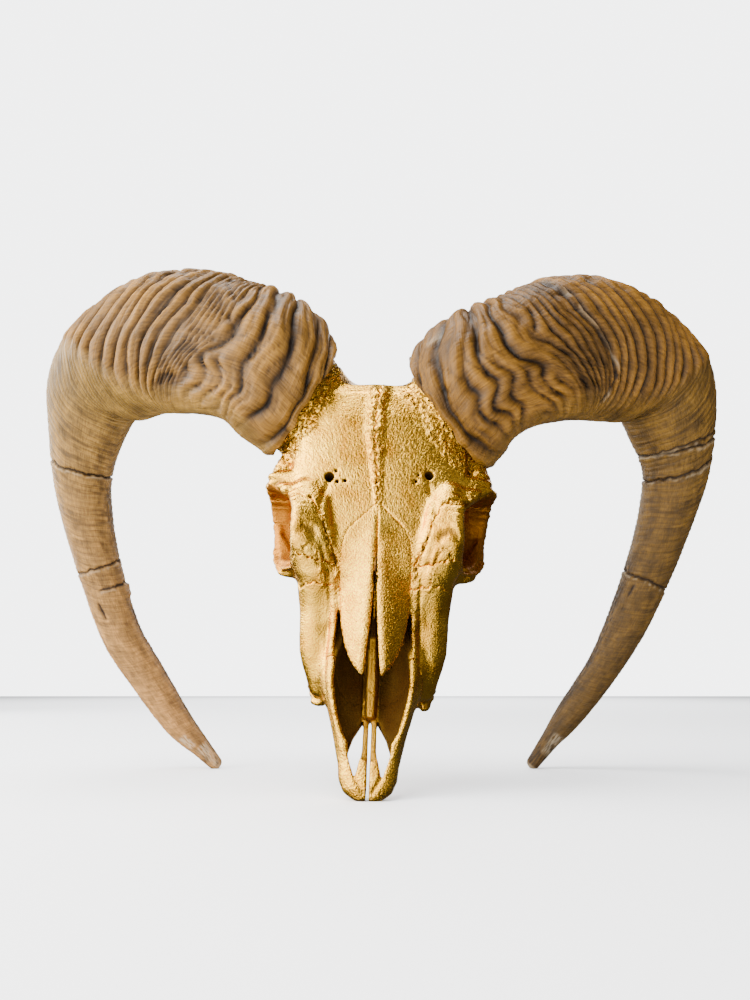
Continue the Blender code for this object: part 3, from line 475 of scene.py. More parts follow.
nasalCavity = [(16, 8.5, 30, 3, 5), (22, 7.5, 36, 9.5, 12), (30, 7, 44, 16, 18.6), (38, 7, 50, 18.8, 21.2),
    (46, 7.5, 54, 20.6, 22.8), (55, 8, 60, 21.3, 24.4), (66, 8.5, 62, 19, 24), (75, 9, 62, 16, 21.2),
    (86, 10, 62, 13, 19.6), (98, 12, 66, 13, 19.6), (110, 14, 69, 13, 18.5), (120, 18, 66, 11, 14),
    (128, 26, 56, 6, 8)]
choana = [(126, -30, 6, 9, 7), (140, -30, 18, 10, 9), (156, -30, 27, 10, 9), (176, -30, 30, 9.5, 8)]
vomer = [(41, 4, 12.5, 3, 2.8), (60, 5, 18, 4.2, 3.8), (90, 8, 28, 4.4, 3.8), (112, 12, 36, 3.6, 2.6),
    (126, 22, 44, 3, 2)]
septum = [(84, 10, 50, 1.6, 1.6), (100, 12, 62, 1.8, 1.8), (126, 20, 66, 2, 2)]          # deep inside
# nasal bone: s, inner edge, outer edge, crest, fall to the outer edge, thickness
nasalRows = [(52, 4.6, 6.4, 44.8, 1, 3), (57, 3.9, 10.4, 47.6, 4, 3.4), (62, 3.4, 13.2, 50.4, 6.5, 4),
    (70, 2.7, 16.5, 54.6, 9.5, 4), (80, 1.7, 19, 59.4, 11.5, 4), (92, 0.8, 20.4, 65, 12.5, 4.5),
    (104, 0.1, 21.5, 70.4, 12.5, 5), (114, -0.1, 23.3, 74.8, 12, 5), (122, -0.1, 24.5, 78.4, 11, 5),
    (128, -0.1, 16.5, 80.9, 6, 5), (134, -0.1, 8.5, 83.3, 2.2, 4.5), (139.5, -0.1, 1.8, 85.6, 0.3, 4)]
orbit = {"s": 139, "h": 62, "ring": 25.5, "bar": 3.8, "thinned": 2.4, "flare": 46.8,
         "socket": (66, 38, 21.5, 21),
         "rim": [(0, 72.9), (20, 73.8), (40, 70.2), (60, 60), (80, 51.5), (100, 47), (120, 46.6),
             (140, 46.8), (160, 46.4), (180, 48), (200, 52), (220, 59), (240, 65), (260, 68.8), (300, 69.6),
             (340, 71.7), (360, 72.9)]}
# bars of bone on one side: x, s, h, half width across, half thickness
bars = {
    "arch": [(54, 124, 47, 4, 3.2), (64, 139, 39.5, 3, 4.2), (69, 160, 38, 2.8, 5), (67, 180, 41, 2.8, 4.6),
        (59, 197, 43, 4, 4.2), (42, 208, 44, 8, 5), (30, 212, 46, 8, 5)],
    "postorbital": [(64, 157, 82, 8, 3), (65, 166, 66, 9, 3), (65, 163, 50, 8, 3), (66, 156, 40, 5, 3.6)],
    "cheek": [(28, 92, 20, 14, 14), (33, 106, 30, 13, 15), (38, 115, 41, 11, 12), (46, 122, 46, 8, 7),
        (57, 129, 43, 4.5, 4)],
    "brow": [(44, 143, 80, 8, 6), (56, 156, 82, 8, 6), (65, 165, 80, 6, 6), (52, 181, 90, 8, 8)],
    "lacrimalWall": [(42, 151, 87, 9, 5), (38.5, 139, 84.5, 10, 6), (37, 127.5, 78, 10.5, 7),
        (36, 117.5, 68.5, 11, 8), (35.5, 108.5, 56.5, 11.5, 9), (34.5, 101, 44, 11, 9),
        (33, 94, 32, 10.5, 8)],
    "rimFill": [(42.5, 150, 87.5, 6, 5), (42.5, 139, 85.5, 6.5, 5), (42.5, 127.5, 81.5, 6.5, 5.5),
        (42.5, 117.5, 72.5, 6.5, 6), (42.5, 110.5, 61, 6, 6)],
    "noseSide": [(28.5, 128, 70.5, 6.5, 8), (27.5, 118, 62.4, 6.5, 8), (26.5, 108, 54, 6, 8),
        (26, 98, 44, 5.5, 8), (25, 90, 37.5, 4.5, 7)],
    "plate": [(35, 106, 52, 9.5, 6), (35, 96.5, 43, 9.5, 6), (34.5, 85.5, 33.6, 10, 6),
        (34, 75.1, 24.3, 10, 6), (32, 66, 15.2, 8.2, 6), (30.5, 60, 8, 7.5, 6)],
    "toothBed": [(31, 56, -2, 5.5, 3.5), (33.5, 72, -2.5, 7, 5), (34.5, 95, -2.5, 7.5, 6),
        (34, 118, -2, 7.5, 6.5), (32, 134, 0, 6.5, 6.5), (27, 146, 8, 5, 6)],
    "pterygoid": [(15, 128, 2, 2.4, 6), (14, 145, 9, 2.2, 10), (13, 160, 15, 2.2, 12), (12, 171, 16, 2, 10),
        (11.5, 176, 22, 2, 8)],
    "hamulus": [(13, 163, 12, 1.8, 3), (12, 169, 5, 1.6, 2.4), (11.5, 174, 1.5, 1.4, 1.8)],
    "bulla": [(23, 203, 27, 6, 7), (23, 211, 25, 8.5, 9.5), (23, 219, 27, 7, 8)],
    "paroccipital": [(30, 234, 46, 8, 5), (30.5, 236, 28, 5, 3.4), (28, 234, 12, 3, 2.4),
        (26.5, 231, 4, 1.8, 1.6)],
    "condyle": [(7, 240, 31, 6.5, 7), (13, 247, 40, 7.5, 8.5), (16, 247, 51, 6, 7)],
    "socketWall": [(55, 160, 86, 14, 3), (55, 171, 68, 16, 3), (52, 168, 50, 16, 3), (50, 157, 41, 16, 3),
        (50, 144, 37.5, 16, 3), (50, 131, 38, 15, 3), (50, 119, 41, 12, 3)],
    "nuchalCrest": [(0, 246, 82, 7, 4.5), (18, 243, 79, 5, 3.6), (31, 237, 68, 4.5, 3.2),
        (37, 230, 55, 5, 3.4)],
}
earBar = [(30, 214, 46, 7, 7), (43, 217, 49, 5.5, 5.5)]
skullBase = [(0, 158, 36, 9, 7), (0, 185, 33, 10, 7), (0, 215, 32, 13, 7), (0, 238, 32, 14, 7)]
teeth = [(61, 7.4, 7.5, 31.5), (69.5, 8.8, 10, 32.5), (79.5, 10.4, 12.5, 33.2), (92.5, 14.6, 14, 33.8),
         (108.5, 16.6, 14.5, 34), (125, 15.6, 13, 33)]          # s, length, width, x
fissure = [(4, 24), (5.2, 16), (6.8, 9.4), (8, 8.8), (11.8, 19), (12, 24), (9.5, 32), (3.9, 42)]
foramina = [(-30, 153.2, 2.8), (-26.2, 157.1, 0.9), (-25.2, 150.4, 1), (-20.4, 150.9, 1), (-39.8, 137.9, 0.6),
            (30, 156.2, 2.6), (22.1, 151.9, 1), (23.5, 156, 0.8)]          # x, s, radius
pedicle = {"half": (33, 25.5), "length": 32, "room": 40, "roomRadius": 60}

low, high, gridStep = np.array(skullSet["low"]), np.array(skullSet["high"]), skullSet["step"]
size = np.ceil((high - low) / gridStep).astype(int) + 1
field = np.full(size, 12.0, np.float32)


def window(a, b):  # the slices of the grid that cover the box from a to b
    first = np.clip(np.floor((np.asarray(a) - low) / gridStep).astype(int), 0, size - 2)
    last = np.clip(np.ceil((np.asarray(b) - low) / gridStep).astype(int) + 1, first + 2, size)
    return tuple(slice(i, j) for i, j in zip(first, last))


def spots(box):  # x, s and h of the window's grid points, ready to broadcast
    shapes = ((-1, 1, 1), (1, -1, 1), (1, 1, -1))
    steps = [gridStep * np.arange(part.start, part.stop) for part in box]
    return [(low[k] + steps[k]).astype(np.float32).reshape(shapes[k]) for k in range(3)]


def blendMin(a, b, k):  # smooth minimum: min(a, b) - max(k - |a - b|, 0) squared / 4k
    mix = np.maximum(k - np.abs(a - b), 0)
    return np.minimum(a, b) - mix * mix * (0.25 / k)


def blendMax(a, b, k):  # smooth maximum, the mirror of blendMin
    return -blendMin(-a, -b, k)


def joinForm(form, a, b, k=None):  # adds a form to the skull with a rounded inner corner
    box = window(np.asarray(a) - 5, np.asarray(b) + 5)
    field[box] = blendMin(field[box], form(*spots(box)), k or skullSet["round"])


def cutForm(form, a, b, k=1.2):  # takes a form away, with a slightly rounded edge
    box = window(np.asarray(a) - 2, np.asarray(b) + 2)
    field[box] = blendMax(field[box], -form(*spots(box)), k)


def lessRadius(far, rho):  # distance less the radius: far * (1 - 1 / rho), where rho is 1 on the ellipse
    return far * (1 - 1 / np.maximum(rho, 0.05))


def readRows(rows, s):  # every column of the rows, read at each s
    return (np.interp(s, rows[:, 0], column).astype(np.float32) for column in rows.T[1:])


def loftForm(rows, power, ends=3.0):
    # Loft along s: distance from the axis less the radius of |x / half| ^ p + |up| ^ p = 1 in that direction
    rows = np.array(rows, np.float32)

    def form(x, s, h):
        lowEdge, highEdge, below, above = readRows(rows, s)
        middle, tall = (lowEdge + highEdge) / 2, (highEdge - lowEdge) / 2
        up = (h - middle) / tall
        half = below + (above - below) * (np.clip(up, -1, 1) + 1) / 2
        rho = (np.abs(x / half) ** power + np.abs(up) ** power) ** (1 / power)
        far = np.sqrt(x * x + (h - middle) ** 2)
        return blendMax(lessRadius(far, rho), np.maximum(rows[0, 0] - s, s - rows[-1, 0]), ends)
    widest = rows[:, 3:].max()
    return form, (-widest, rows[0, 0], rows[:, 1].min()), (widest, rows[-1, 0], rows[:, 2].max())


def barForm(path, side=1, wide=(1, 0, 0)):
    # Elliptical bar: the distance to the nearest spot on any stretch, less the ellipse's radius there
    rows, _ = curveThrough(path, 9)

    def form(x, s, h):
        best = np.float32(60)
        for p, q in zip(rows[:-1], rows[1:]):
            way = q[:3] - p[:3]
            reach = float(way @ way)
            line = way / math.sqrt(reach)
            broad = unit(np.asarray(wide, float) - line * line[int(np.argmax(wide))])
            thin = np.cross(line, broad)
            dx, ds, dh = side * x - p[0], s - p[1], h - p[2]
            t = np.clip(dot(way, dx, ds, dh) / reach, 0, 1)
            gap = dx - t * way[0], ds - t * way[1], dh - t * way[2]
            first, second = p[3] + (q[3] - p[3]) * t, p[4] + (q[4] - p[4]) * t
            u, v = dot(broad, *gap) / first, dot(thin, *gap) / second
            w = dot(line, *gap) / np.minimum(first, second)
            best = np.minimum(best, lessRadius(np.sqrt(dot(gap, *gap)), np.sqrt(u ** 2 + v ** 2 + w ** 2)))
        return best
    reach = rows[:, 3:5].max() + 1
    edge = np.array([rows[:, :3].min(0) - reach, rows[:, :3].max(0) + reach])
    if side < 0:
        edge[:, 0] = -edge[::-1, 0]
    return form, edge[0], edge[1]


def eggForm(centre, radii):  # ellipsoid: distance from its middle less its radius in that direction
    def form(x, s, h):
        gap = x - centre[0], s - centre[1], h - centre[2]
        rho = np.sqrt((gap[0] / radii[0]) ** 2 + (gap[1] / radii[1]) ** 2 + (gap[2] / radii[2]) ** 2)
        return lessRadius(np.sqrt(dot(gap, *gap)), rho)
    return form, np.subtract(centre, radii), np.add(centre, radii)


def lineDistance(u, v, corners):  # distance to an open line of corners in a plane
    corners, best = np.asarray(corners, float), 1e9
    for (au, av), (bu, bv) in zip(corners[:-1], corners[1:]):
        eu, ev = bu - au, bv - av
        t = np.clip(((u - au) * eu + (v - av) * ev) / (eu * eu + ev * ev), 0, 1)
        best = np.minimum(best, (u - au - t * eu) ** 2 + (v - av - t * ev) ** 2)
    return np.sqrt(best)


def outlineDistance(u, v, corners):  # distance to a polygon's edge in a plane, negative inside it
    corners = np.asarray(list(corners) + [corners[0]], float)
    inside = False
    for (au, av), (bu, bv) in zip(corners[:-1], corners[1:]):
        inside = inside ^ (((av > v) != (bv > v)) & (u < (bu - au) * (v - av) / ((bv - av) or 1e-9) + au))
    return (np.where(inside, -1, 1) * lineDistance(u, v, corners)).astype(np.float32)


def rimX(angle, side=1):  # how far out the orbit's rim lies at an angle round it; the left one flares less
    known = np.array(orbit["rim"], float)
    out = np.interp(np.degrees(angle) % 360, known[:, 0], known[:, 1])
    return out - np.where(side < 0, 1 - skullSet["rimShare"], 0.0) * np.maximum(out - skullSet["rimStart"], 0)


def ringForm(side):  # ring of bone round the orbit: distance to a circle bent sideways, less the bar's radius
    def form(x, s, h):
        ds, dh = s - orbit["s"], h - orbit["h"]
        out = rimX(np.arctan2(dh, ds), side).astype(np.float32)
        thinned = orbit["thinned"] * (1 - bell(out - orbit["flare"], 3.0)).astype(np.float32)
        bar = orbit["bar"] - thinned                  # thin where the rim flares
        return np.sqrt((np.sqrt(ds * ds + dh * dh) - orbit["ring"]) ** 2 + (side * x - out) ** 2) - bar
    middle, reach = np.array([side * 62.0, orbit["s"], orbit["h"]]), orbit["ring"] + orbit["bar"]
    return form, middle - (16, reach, reach), middle + (16, reach, reach)


hornEnds = {}
for side, about in horns.items():
    centre, along, across, front = hornAxes(about["path"], 31)[:4]
    base = unposeSkull(centre[0] + np.stack([0 * along[0], along[0], across[0], front[0]]))
    hornEnds[side] = (base[0], *(base[1:] - base[0]))


def stumpPlace(side, x, s, h):
    # distance along the horn, distance from its axis, that over the stump's radius
    place, along, across, front = hornEnds[side]
    gap = x - place[0], s - place[1], h - place[2]
    b, c = dot(across, *gap), dot(front, *gap)
    rho = np.sqrt((b / pedicle["half"][0]) ** 2 + (c / pedicle["half"][1]) ** 2)
    return dot(along, *gap) - hornSet["slant"] * b, np.sqrt(b * b + c * c), rho


def stumpForm(side):  # bony stump in the horn: an ellipse carried along the horn's axis, cut at the rim
    half, place = pedicle["length"] / 2, hornEnds[side][0]

    def form(x, s, h):
        a, far, rho = stumpPlace(side, x, s, h)
        ends = np.abs(a + half).astype(np.float32) - half
        return blendMax(lessRadius(far, rho).astype(np.float32), ends, 2.0)
    return form, place - 44, place + 44


def rimForm(side):  # room for the horn: a short wide drum past its rim
    half, place = pedicle["room"] / 2, hornEnds[side][0]

    def form(x, s, h):
        a, far, _ = stumpPlace(side, x, s, h)
        ends = np.abs(a - half + 0.15) - half - 0.15
        return np.maximum(ends, far - pedicle["roomRadius"]).astype(np.float32)
    return form, place - 66, place + 66


def toothForm(side, s0, length, width, x0):
    # Cheek tooth: |x| ^ 4 + |s| ^ 4 column with two swellings along it, narrowing to two chewing ridges
    def form(x, s, h):
        scale = np.interp(h, (-11.5, -9, -4, 1), (0.8, 0.98, 1.0, 0.9)).astype(np.float32)
        fold = 1 + 0.13 * np.cos(4 * np.pi * (s - s0) / length)
        across = np.abs(side * x - x0) / (width / 2 * scale * fold)
        along = np.abs(s - s0) / (length / 2 * scale)
        rho = (across ** 4 + along ** 4) ** 0.25
        chewed = 1.3 * np.abs(np.sin(2 * np.pi * (s - s0) / length)) + 0.9 * np.cos((side * x - x0) * 1.2)
        ends = np.maximum(-11.3 + chewed - h, h - 2)
        return blendMax(((rho - 1) * width / 2).astype(np.float32), ends.astype(np.float32), 1.0)
    xs = sorted((side * (x0 - width), side * (x0 + width)))
    return form, (xs[0], s0 - length, -13), (xs[1], s0 + length, 3)


def nasalForm(side, rise=(900.0, 901.0)):
    # Nasal bone: a plate between two edges, its top falling as a roof that steepens outwards. Past the rise
    # it stands 4 mm higher, so that it can be cut back to the skull's own surface.
    rows = np.array(nasalRows, np.float32)

    def form(x, s, h):
        inner, outer, crest, fall, thick = readRows(rows, s)
        out, back = side * x, step01(s, 94, 106)
        across = np.clip((out - inner) / (outer - inner), 0, 1.1)
        dip = 1.7 * bell(out - inner, 2.2) * fades(s, 112, 128)
        topEdge = crest - fall * across * (0.5 + 0.5 * across) - dip
        shell = blendMax(h - topEdge - 4.0 * step01(s, *rise), topEdge - thick - h, 1.4)
        edges = blendMax(inner - out, out - outer - 0.25 * np.sin(s * 1.7) - 0.2 * np.sin(s * 3.9), 0.8)
        ends = np.maximum(rows[0, 0] - s, s - rows[-1, 0])
        return blendMax(blendMax(shell, edges, 1.0 - 0.85 * back), ends, 1.5 - 1.2 * back)
    xs = sorted((0.0, side * 28.0))
    return form, (xs[0], 51, 40), (xs[1], 142, 90)


for rows, power in ((face, 2.7), (braincase, 2.4), (forehead, 2.6)):
    joinForm(*loftForm(rows, power))
joinForm(*barForm(skullBase))
for side in (-1, 1):
    joinForm(*ringForm(side))
    for word, path in bars.items():
        if side < 0 and word in ("brow", "postorbital", "arch"):
            path = [(row[0] * skullSet["leftShare"],) + row[1:] for row in path]
        joinForm(*barForm(path, side))
    joinForm(*barForm(earBar, side, (0, 1, 0)))
for side in horns:
    joinForm(*stumpForm(side), k=6.0)
nasals = {side: window((min(0, side * 30), 49, 36), (max(0, side * 30), 144, 92)) for side in (-1, 1)}
for side, box in nasals.items():                      # the nasals' upper half melts into the skull
    share = step01(spots(box)[1], 84, 98)
    field[box] += share * (blendMin(field[box], nasalForm(side)[0](*spots(box)), 3.0) - field[box])
hull = field.copy()                                   # the outer form, before it is hollowed
print("skull forms joined")


def fromHole(x, s, h, x0, s0):  # distance from a small hole's axis; it slants back, as the vessel does
    return np.sqrt((x - x0) ** 2 + (s - s0 + 0.35 * (h - 94)) ** 2)


def besideNasal(side, x, s, h):
    # notch between a nasal and the rim of the nose: distance from a slanting wall
    wide = np.interp(s, (64, 74, 88, 93), (2.6, 2.4, 1.0, -1.0))
    return blendMax(np.abs(side * x - 20.6 - 0.03 * (s - 75)) - wide, 34 - h, 1.0).astype(np.float32)


def vomerGroove(x, s, h):  # a round groove along the top of the vomer
    top = np.interp(s, (41, 60, 90, 112), (12.5, 18, 28, 36))
    return (np.sqrt(x * x + (h - top) ** 2) - 1.1).astype(np.float32)


for side in (-1, 1):
    cutForm(*eggForm((side * orbit["socket"][0], orbit["s"], orbit["h"]), orbit["socket"][1:]))
cutForm(*loftForm(nasalCavity, 3.0))
cutForm(*loftForm(choana, 3.0))
cutForm(*eggForm((0.0, 252.0, 51.0), (10.5, 30.0, 9.5)))          # where the spine's cord leaves
for side in (-1, 1):
    cutForm(lambda x, s, h: outlineDistance(side * x[:, :, 0], s[:, :, 0], fissure)[:, :, None] + 0 * h,
            (-14, 5, -14), (14, 46, 24), 0.8)
for x0, s0, radius in foramina:
    cutForm(lambda x, s, h: (fromHole(x, s, h, x0, s0) - radius).astype(np.float32),
            (x0 - 5, s0 - 9, 84), (x0 + 5, s0 + 9, 108), 1.6)
cutForm(lambda x, s, h: (np.maximum(np.abs(x) - 0.75, s - 42) + 0 * h).astype(np.float32),
        (-3, -6, -14), (3, 43, 34), 0.8)              # the gap between the two front bones
joinForm(*loftForm(vomer, 2.0, 1.5), k=2.0)
cutForm(vomerGroove, (-4, 43, 8), (4, 112, 40), 0.8)
joinForm(*loftForm(septum, 4.0, 1.0), k=1.5)
for row in teeth:
    for side in (-1, 1):
        joinForm(*toothForm(side, *row), k=1.5)
for side in horns:
    cutForm(*rimForm(side), k=0.5)
for side in (-1, 1):
    cutForm(lambda x, s, h: besideNasal(side, x, s, h),
            (min(15 * side, 26 * side), 64, 36), (max(15 * side, 26 * side), 93, 66), 0.8)
openField = field.copy()                              # the whole skull, for measuring how open each place is
for side, box in nasals.items():
    openField[box] = np.minimum(openField[box], nasalForm(side)[0](*spots(box)))
print("skull hollowed", field.size)


def readField(volume, points):  # the field at any points, blended from the eight grid values around each
    p = (points - low) / gridStep
    base = np.clip(np.floor(p).astype(int), 0, np.array(volume.shape) - 2)
    return blended(volume, base, np.clip(p - base, 0, 1))


def skinOf(volume, box):
    # Skin of the field's zero: one point in each cell that it crosses, at the mean of its edge crossings,
    # and one quad round each crossed edge; only the largest connected skin is kept
    volume = np.pad(volume, 1, constant_values=9.0)
    shape = np.array(volume.shape)
    strides = np.array([shape[1] * shape[2], shape[2], 1])
    flat = volume.ravel()
    cells, places, quadCells, flips = [], [], [], []
    for axis in range(3):
        u, v = [k for k in range(3) if k != axis]
        head = [slice(None)] * 3
        tail = [slice(None)] * 3
        head[axis], tail[axis] = slice(0, -1), slice(1, None)
        a, b = volume[tuple(head)], volume[tuple(tail)]
        where = np.argwhere((a < 0) != (b < 0))
        index = where @ strides
        va, vb = flat[index], flat[index + strides[axis]]
        place = where.astype(np.float32)
        place[:, axis] += va / (va - vb)
        around = [index, index - strides[u], index - strides[u] - strides[v], index - strides[v]]
        quadCells.append(np.stack(around, 1))
        flips.append((va < 0) ^ (axis == 1))
        cells += around
        places += [place] * 4
    cells, places = np.concatenate(cells), np.concatenate(places)
    kept, number = np.unique(cells, return_inverse=True)
    total = np.bincount(number)
    points = np.stack([np.bincount(number, places[:, k]) / total for k in range(3)], axis=1)
    quads = np.concatenate(quadCells)
    quads = np.where(np.concatenate(flips)[:, None], quads, quads[:, ::-1])
    quads = np.searchsorted(kept, quads)
    label = np.arange(len(points))
    for _ in range(60):                                # connected skins share the smallest point number
        least = label[quads].min(1)
        before = label.copy()
        for k in range(4):
            np.minimum.at(label, quads[:, k], least)
        label = np.minimum(label, label[label])
        label = np.minimum(label, label[label])
        if (label == before).all():
            break
    main = np.bincount(label[quads[:, 0]]).argmax()
    quads = quads[label[quads[:, 0]] == main]
    used, quads = np.unique(quads, return_inverse=True)
    start = np.array([b.start for b in box]) - 1
    return (points[used] + start) * gridStep + low, quads.reshape(-1, 4)


def evened(points, quads):  # moves each point half of the way to the mean of the middles of its quads
    corners, middles = quads.ravel(), np.repeat(points[quads].mean(1), 4, axis=0)
    weight = np.bincount(corners, minlength=len(points))
    mean = np.stack([np.bincount(corners, column, len(points)) / weight for column in middles.T], axis=1)
    return points + (mean - points) * 0.5


# the frontals' suture, off the middle
ridgeLine = {"s": (131, 146, 160, 176, 190, 204), "x": (-0.4, -0.5, -2.0, -3.7, -3.2, -1.4)}
# grooves on each side as out, s: depth, half width, share of pits, and the line
grooves = [
    (0.8, 1.6, 0.0, [(30.5, 150), (32.5, 143), (34.0, 135), (33.4, 131)]),
    (0.8, 1.1, 1.0, [(33.4, 131), (31.4, 127), (30, 123.7), (28.6, 119), (26, 115), (23.8, 110), (23, 104)]),
    (0.7, 0.9, 0.7, [(43.0, 111), (41.5, 113.5), (39.0, 114.4), (36.6, 113.5), (34.4, 110.5), (32.6, 106),
                     (31.6, 101)]),
    (1.3, 2.6, 0.0, [(46.0, 119), (42.0, 121.5), (37.6, 120.5), (34.0, 116), (31.0, 109)]),
]
# the nose opening's rope-like rim: s and how far out its middle lies
ropeRim = {"s": (18, 26, 45, 55, 64, 76, 86, 95, 104),
           "out": (13.6, 15.8, 21.6, 24, 24.4, 24.2, 23.6, 23, 23.4)}
# how rough the orbit's rim is at each angle round it
rimRough = {"angle": (0, 30, 50, 85, 105, 200, 240, 330, 360),
            "share": (0.35, 0.4, 0.9, 0.9, 0.15, 0.1, 0.25, 0.3, 0.35)}
boneNoise = {  # size in mm and seed of each noise on the bone
    "uneven": (11, 1), "fineUneven": (3.2, 2), "coralEdge": (6, 3), "knob": (2.1, 4), "fineKnob": (1.25, 5),
    "mound": (2.0, 6), "stipple": (1.5, 8), "hole": (2.1, 9), "grooveX": (3.0, 10), "grooveS": (2.4, 11),
    "rope": (1.6, 12), "rimPatch": (6.0, 22),
}


def boneRelief(points, seam):
    # Height added to the bone at each point: noise in millimetres, weighted by where the point lies
    x, s, h = points.T
    out, facing, snout = np.abs(x), step01(h, 48, 56), fades(s, 128, 140)
    noise = {word: clumps(points, *known) for word, known in boneNoise.items()}
    relief = skullSet["unevenness"] * (noise["uneven"] - 0.5)
    relief += skullSet["fineUnevenness"] * (noise["fineUneven"] - 0.5)
    coral = np.zeros(len(x))
    for side in horns:
        a, _, rho = stumpPlace(side, x, s, h)
        edge = 13 + 7 * (noise["coralEdge"] - 0.5)
        coral = np.maximum(coral, hump(-a, -2, 0, edge - 3, edge + 2) * fades(rho, 1.35, 1.7))
    knobs = noise["knob"] * 0.5 + noise["fineKnob"] * 0.5
    relief += coral * skullSet["coral"] * (1.2 * step01(knobs, 0.3, 0.66) - 0.6)
    pits = np.zeros(len(x))
    offX, offS = out + 0.8 * (noise["grooveX"] - 0.5), s + 0.8 * (noise["grooveS"] - 0.5)
    for deep, half, holes, line in grooves:
        groove = bell(lineDistance(offX, offS, line), half) * facing
        relief -= deep * groove * (1 - 0.7 * holes) + 1.4 * groove * holes * step01(noise["hole"], 0.42, 0.6)
        pits = np.maximum(pits, groove * holes)
    # fold across a front bone's tip
    acrossTip = lineDistance(out, s, [(7.6, 8.4), (5.4, 4.8), (2.4, 0.6)])
    relief -= 1.1 * bell(acrossTip, 1.0) * step01(h, -1, 3)
    inFossa = lineDistance(out, s, [(34.6, 117), (32.4, 109), (31.5, 100)])       # smooth fold before the eye
    relief += 0.9 * bell(inFossa, 1.8) * facing
    relief -= 1.5 * bell(x + 0.1, 0.9) * hump(s, 96, 100, 128, 136) * step01(h, 62, 66)
    rope = out - np.interp(s, ropeRim["s"], ropeRim["out"])
    onRope = hump(s, 14, 24, 96, 108) * step01(h, 4, 10)
    relief += onRope * (0.9 * bell(rope, 2.0) - 0.8 * bell(rope - 3.4, 1.1))
    relief += 1.0 * (noise["rope"] - 0.5) * bell(rope, 3.0) * hump(s, 78, 88, 108, 116)
    # ragged edge of the upper jaw
    fringe = step01(out, 26, 29) * fades(h, 1, 6) * fades(s, 66, 80)
    relief += fringe * 2.2 * (clumps(points * (1, 1, 0.4), 2.4, 13) - 0.5)
    crest = np.interp(s, (132, 139, 150, 165, 180, 204), (0.8, 1.7, 2.7, 4.0, 5.2, 5.6))
    onTop = step01(h, 80, 86) * hump(s, 134, 142, 205, 212)
    mound = bell(x - np.interp(s, ridgeLine["s"], ridgeLine["x"]), crest, 4) * onTop
    rise = skullSet["ridge"] * np.interp(s, (140, 165, 200), (0.5, 0.8, 1.0))
    relief += mound * (rise + 2.3 * (noise["mound"] - 0.5))
    ds, dh = s - orbit["s"], h - orbit["h"]
    angle, reach = np.arctan2(dh, ds), np.sqrt(ds * ds + dh * dh)
    rim = bell(reach - orbit["ring"] - 1, 5) * bell(out - rimX(angle, x), 7)
    toothed = clumps(np.stack([angle * 26, np.sign(x) * 20 + reach * 0.3, 0 * x], 1), 1.7, 7)
    rough = np.interp(np.degrees(angle) % 360, rimRough["angle"], rimRough["share"])
    rough *= 0.25 + 1.2 * noise["rimPatch"]
    relief += rim * skullSet["browJag"] * (1.8 * step01(toothed, 0.25, 0.75) - 1.0) * rough
    relief += skullSet["stipple"] * snout * (noise["stipple"] - 0.5)
    relief -= skullSet["sutureDip"] * seam
    return relief, np.maximum(np.maximum(coral, mound), 1.3 * pits)


def opennessAt(points, normals):  # share of free space ahead: field read at three distances, over each
    total = 0
    for reach, weight in ((1.5, 0.4), (4.0, 0.35), (9.0, 0.25)):
        total = total + weight * np.clip(readField(openField, points + normals * reach) / reach, 0, 1)
    return total


# the box in which each bone is cut out, for the right side, in the order of the cuts
boneBoxes = {"nasal": ((0, 49, 36), (30, 144, 92)), "premaxilla": ((-8, -6, -15), (40, 66, 52)),
             "lacrimal": ((14, 106, 50), (66, 150, 112)), "zygomatic": ((38, 98, 12), (82, 200, 68)),
             "frontal": ((-5, 94, 46), (82, 236, 134)), "maxilla": ((-8, -6, -15), (66, 156, 92))}
# the outline of each bone seen from the side, as (s, h); the lacrimal's is seen from above, as (x, s)
outlines = {
    "premaxilla": [(-30, -60), (2, -60), (102, 80), (-30, 80)],
    "lacrimal": [(22, 110), (33, 108), (41, 110), (60, 112), (60, 141), (47, 141), (38, 138), (33.4, 131),
                 (30, 123.7), (27.5, 119)],
    "zygomatic": [(105, 28), (118, 20), (190, 20), (176, 60), (150, 60), (112, 60)],
    "frontal": [(100, 52), (178, 52), (192, 78), (226, 94), (230, 200), (100, 200)],
    "maxilla": [(-30, -60), (150, -60), (138, 52), (138, 200), (-30, 200)],
}


def pastSuture(bone, side, x, s, h):  # how far a point lies past the bone's sutures, which waver by sines
    if bone == "lacrimal":
        edge = outlineDistance(side * x[:, :, 0], s[:, :, 0], outlines[bone])[:, :, None]
        return np.maximum(edge + 0.5 * np.sin(x * 1.5 + s * 0.7) + 0.3 * np.sin(s * 2.1), 55 - h)
    edge = outlineDistance(s[0], h[0], outlines[bone])[None]
    if bone == "zygomatic":
        return np.maximum(44 - side * x, edge + 0.5 * np.sin(x * 1.4 + s * 0.5))
    if bone == "frontal":
        waver = (0.7 * np.sin(s * 1.1) + 0.4 * np.sin(s * 2.7)) * step01(s, 136, 146)
        middle = np.interp(s, ridgeLine["s"], ridgeLine["x"]) - waver
        return np.maximum(-side * (x - middle), edge + 0.5 * np.sin(x * 1.2))
    middle = -5.5 * step01(h, 3.0, 5.5) * step01(s, 40, 43)       # the vomer belongs to the right jaw
    waver = 0.5 * np.sin(x * 1.3 + 1) + 0.35 * np.sin(x * 2.9) if bone == "premaxilla" else 0 * x
    return np.maximum(-side * (x - middle), edge + waver)


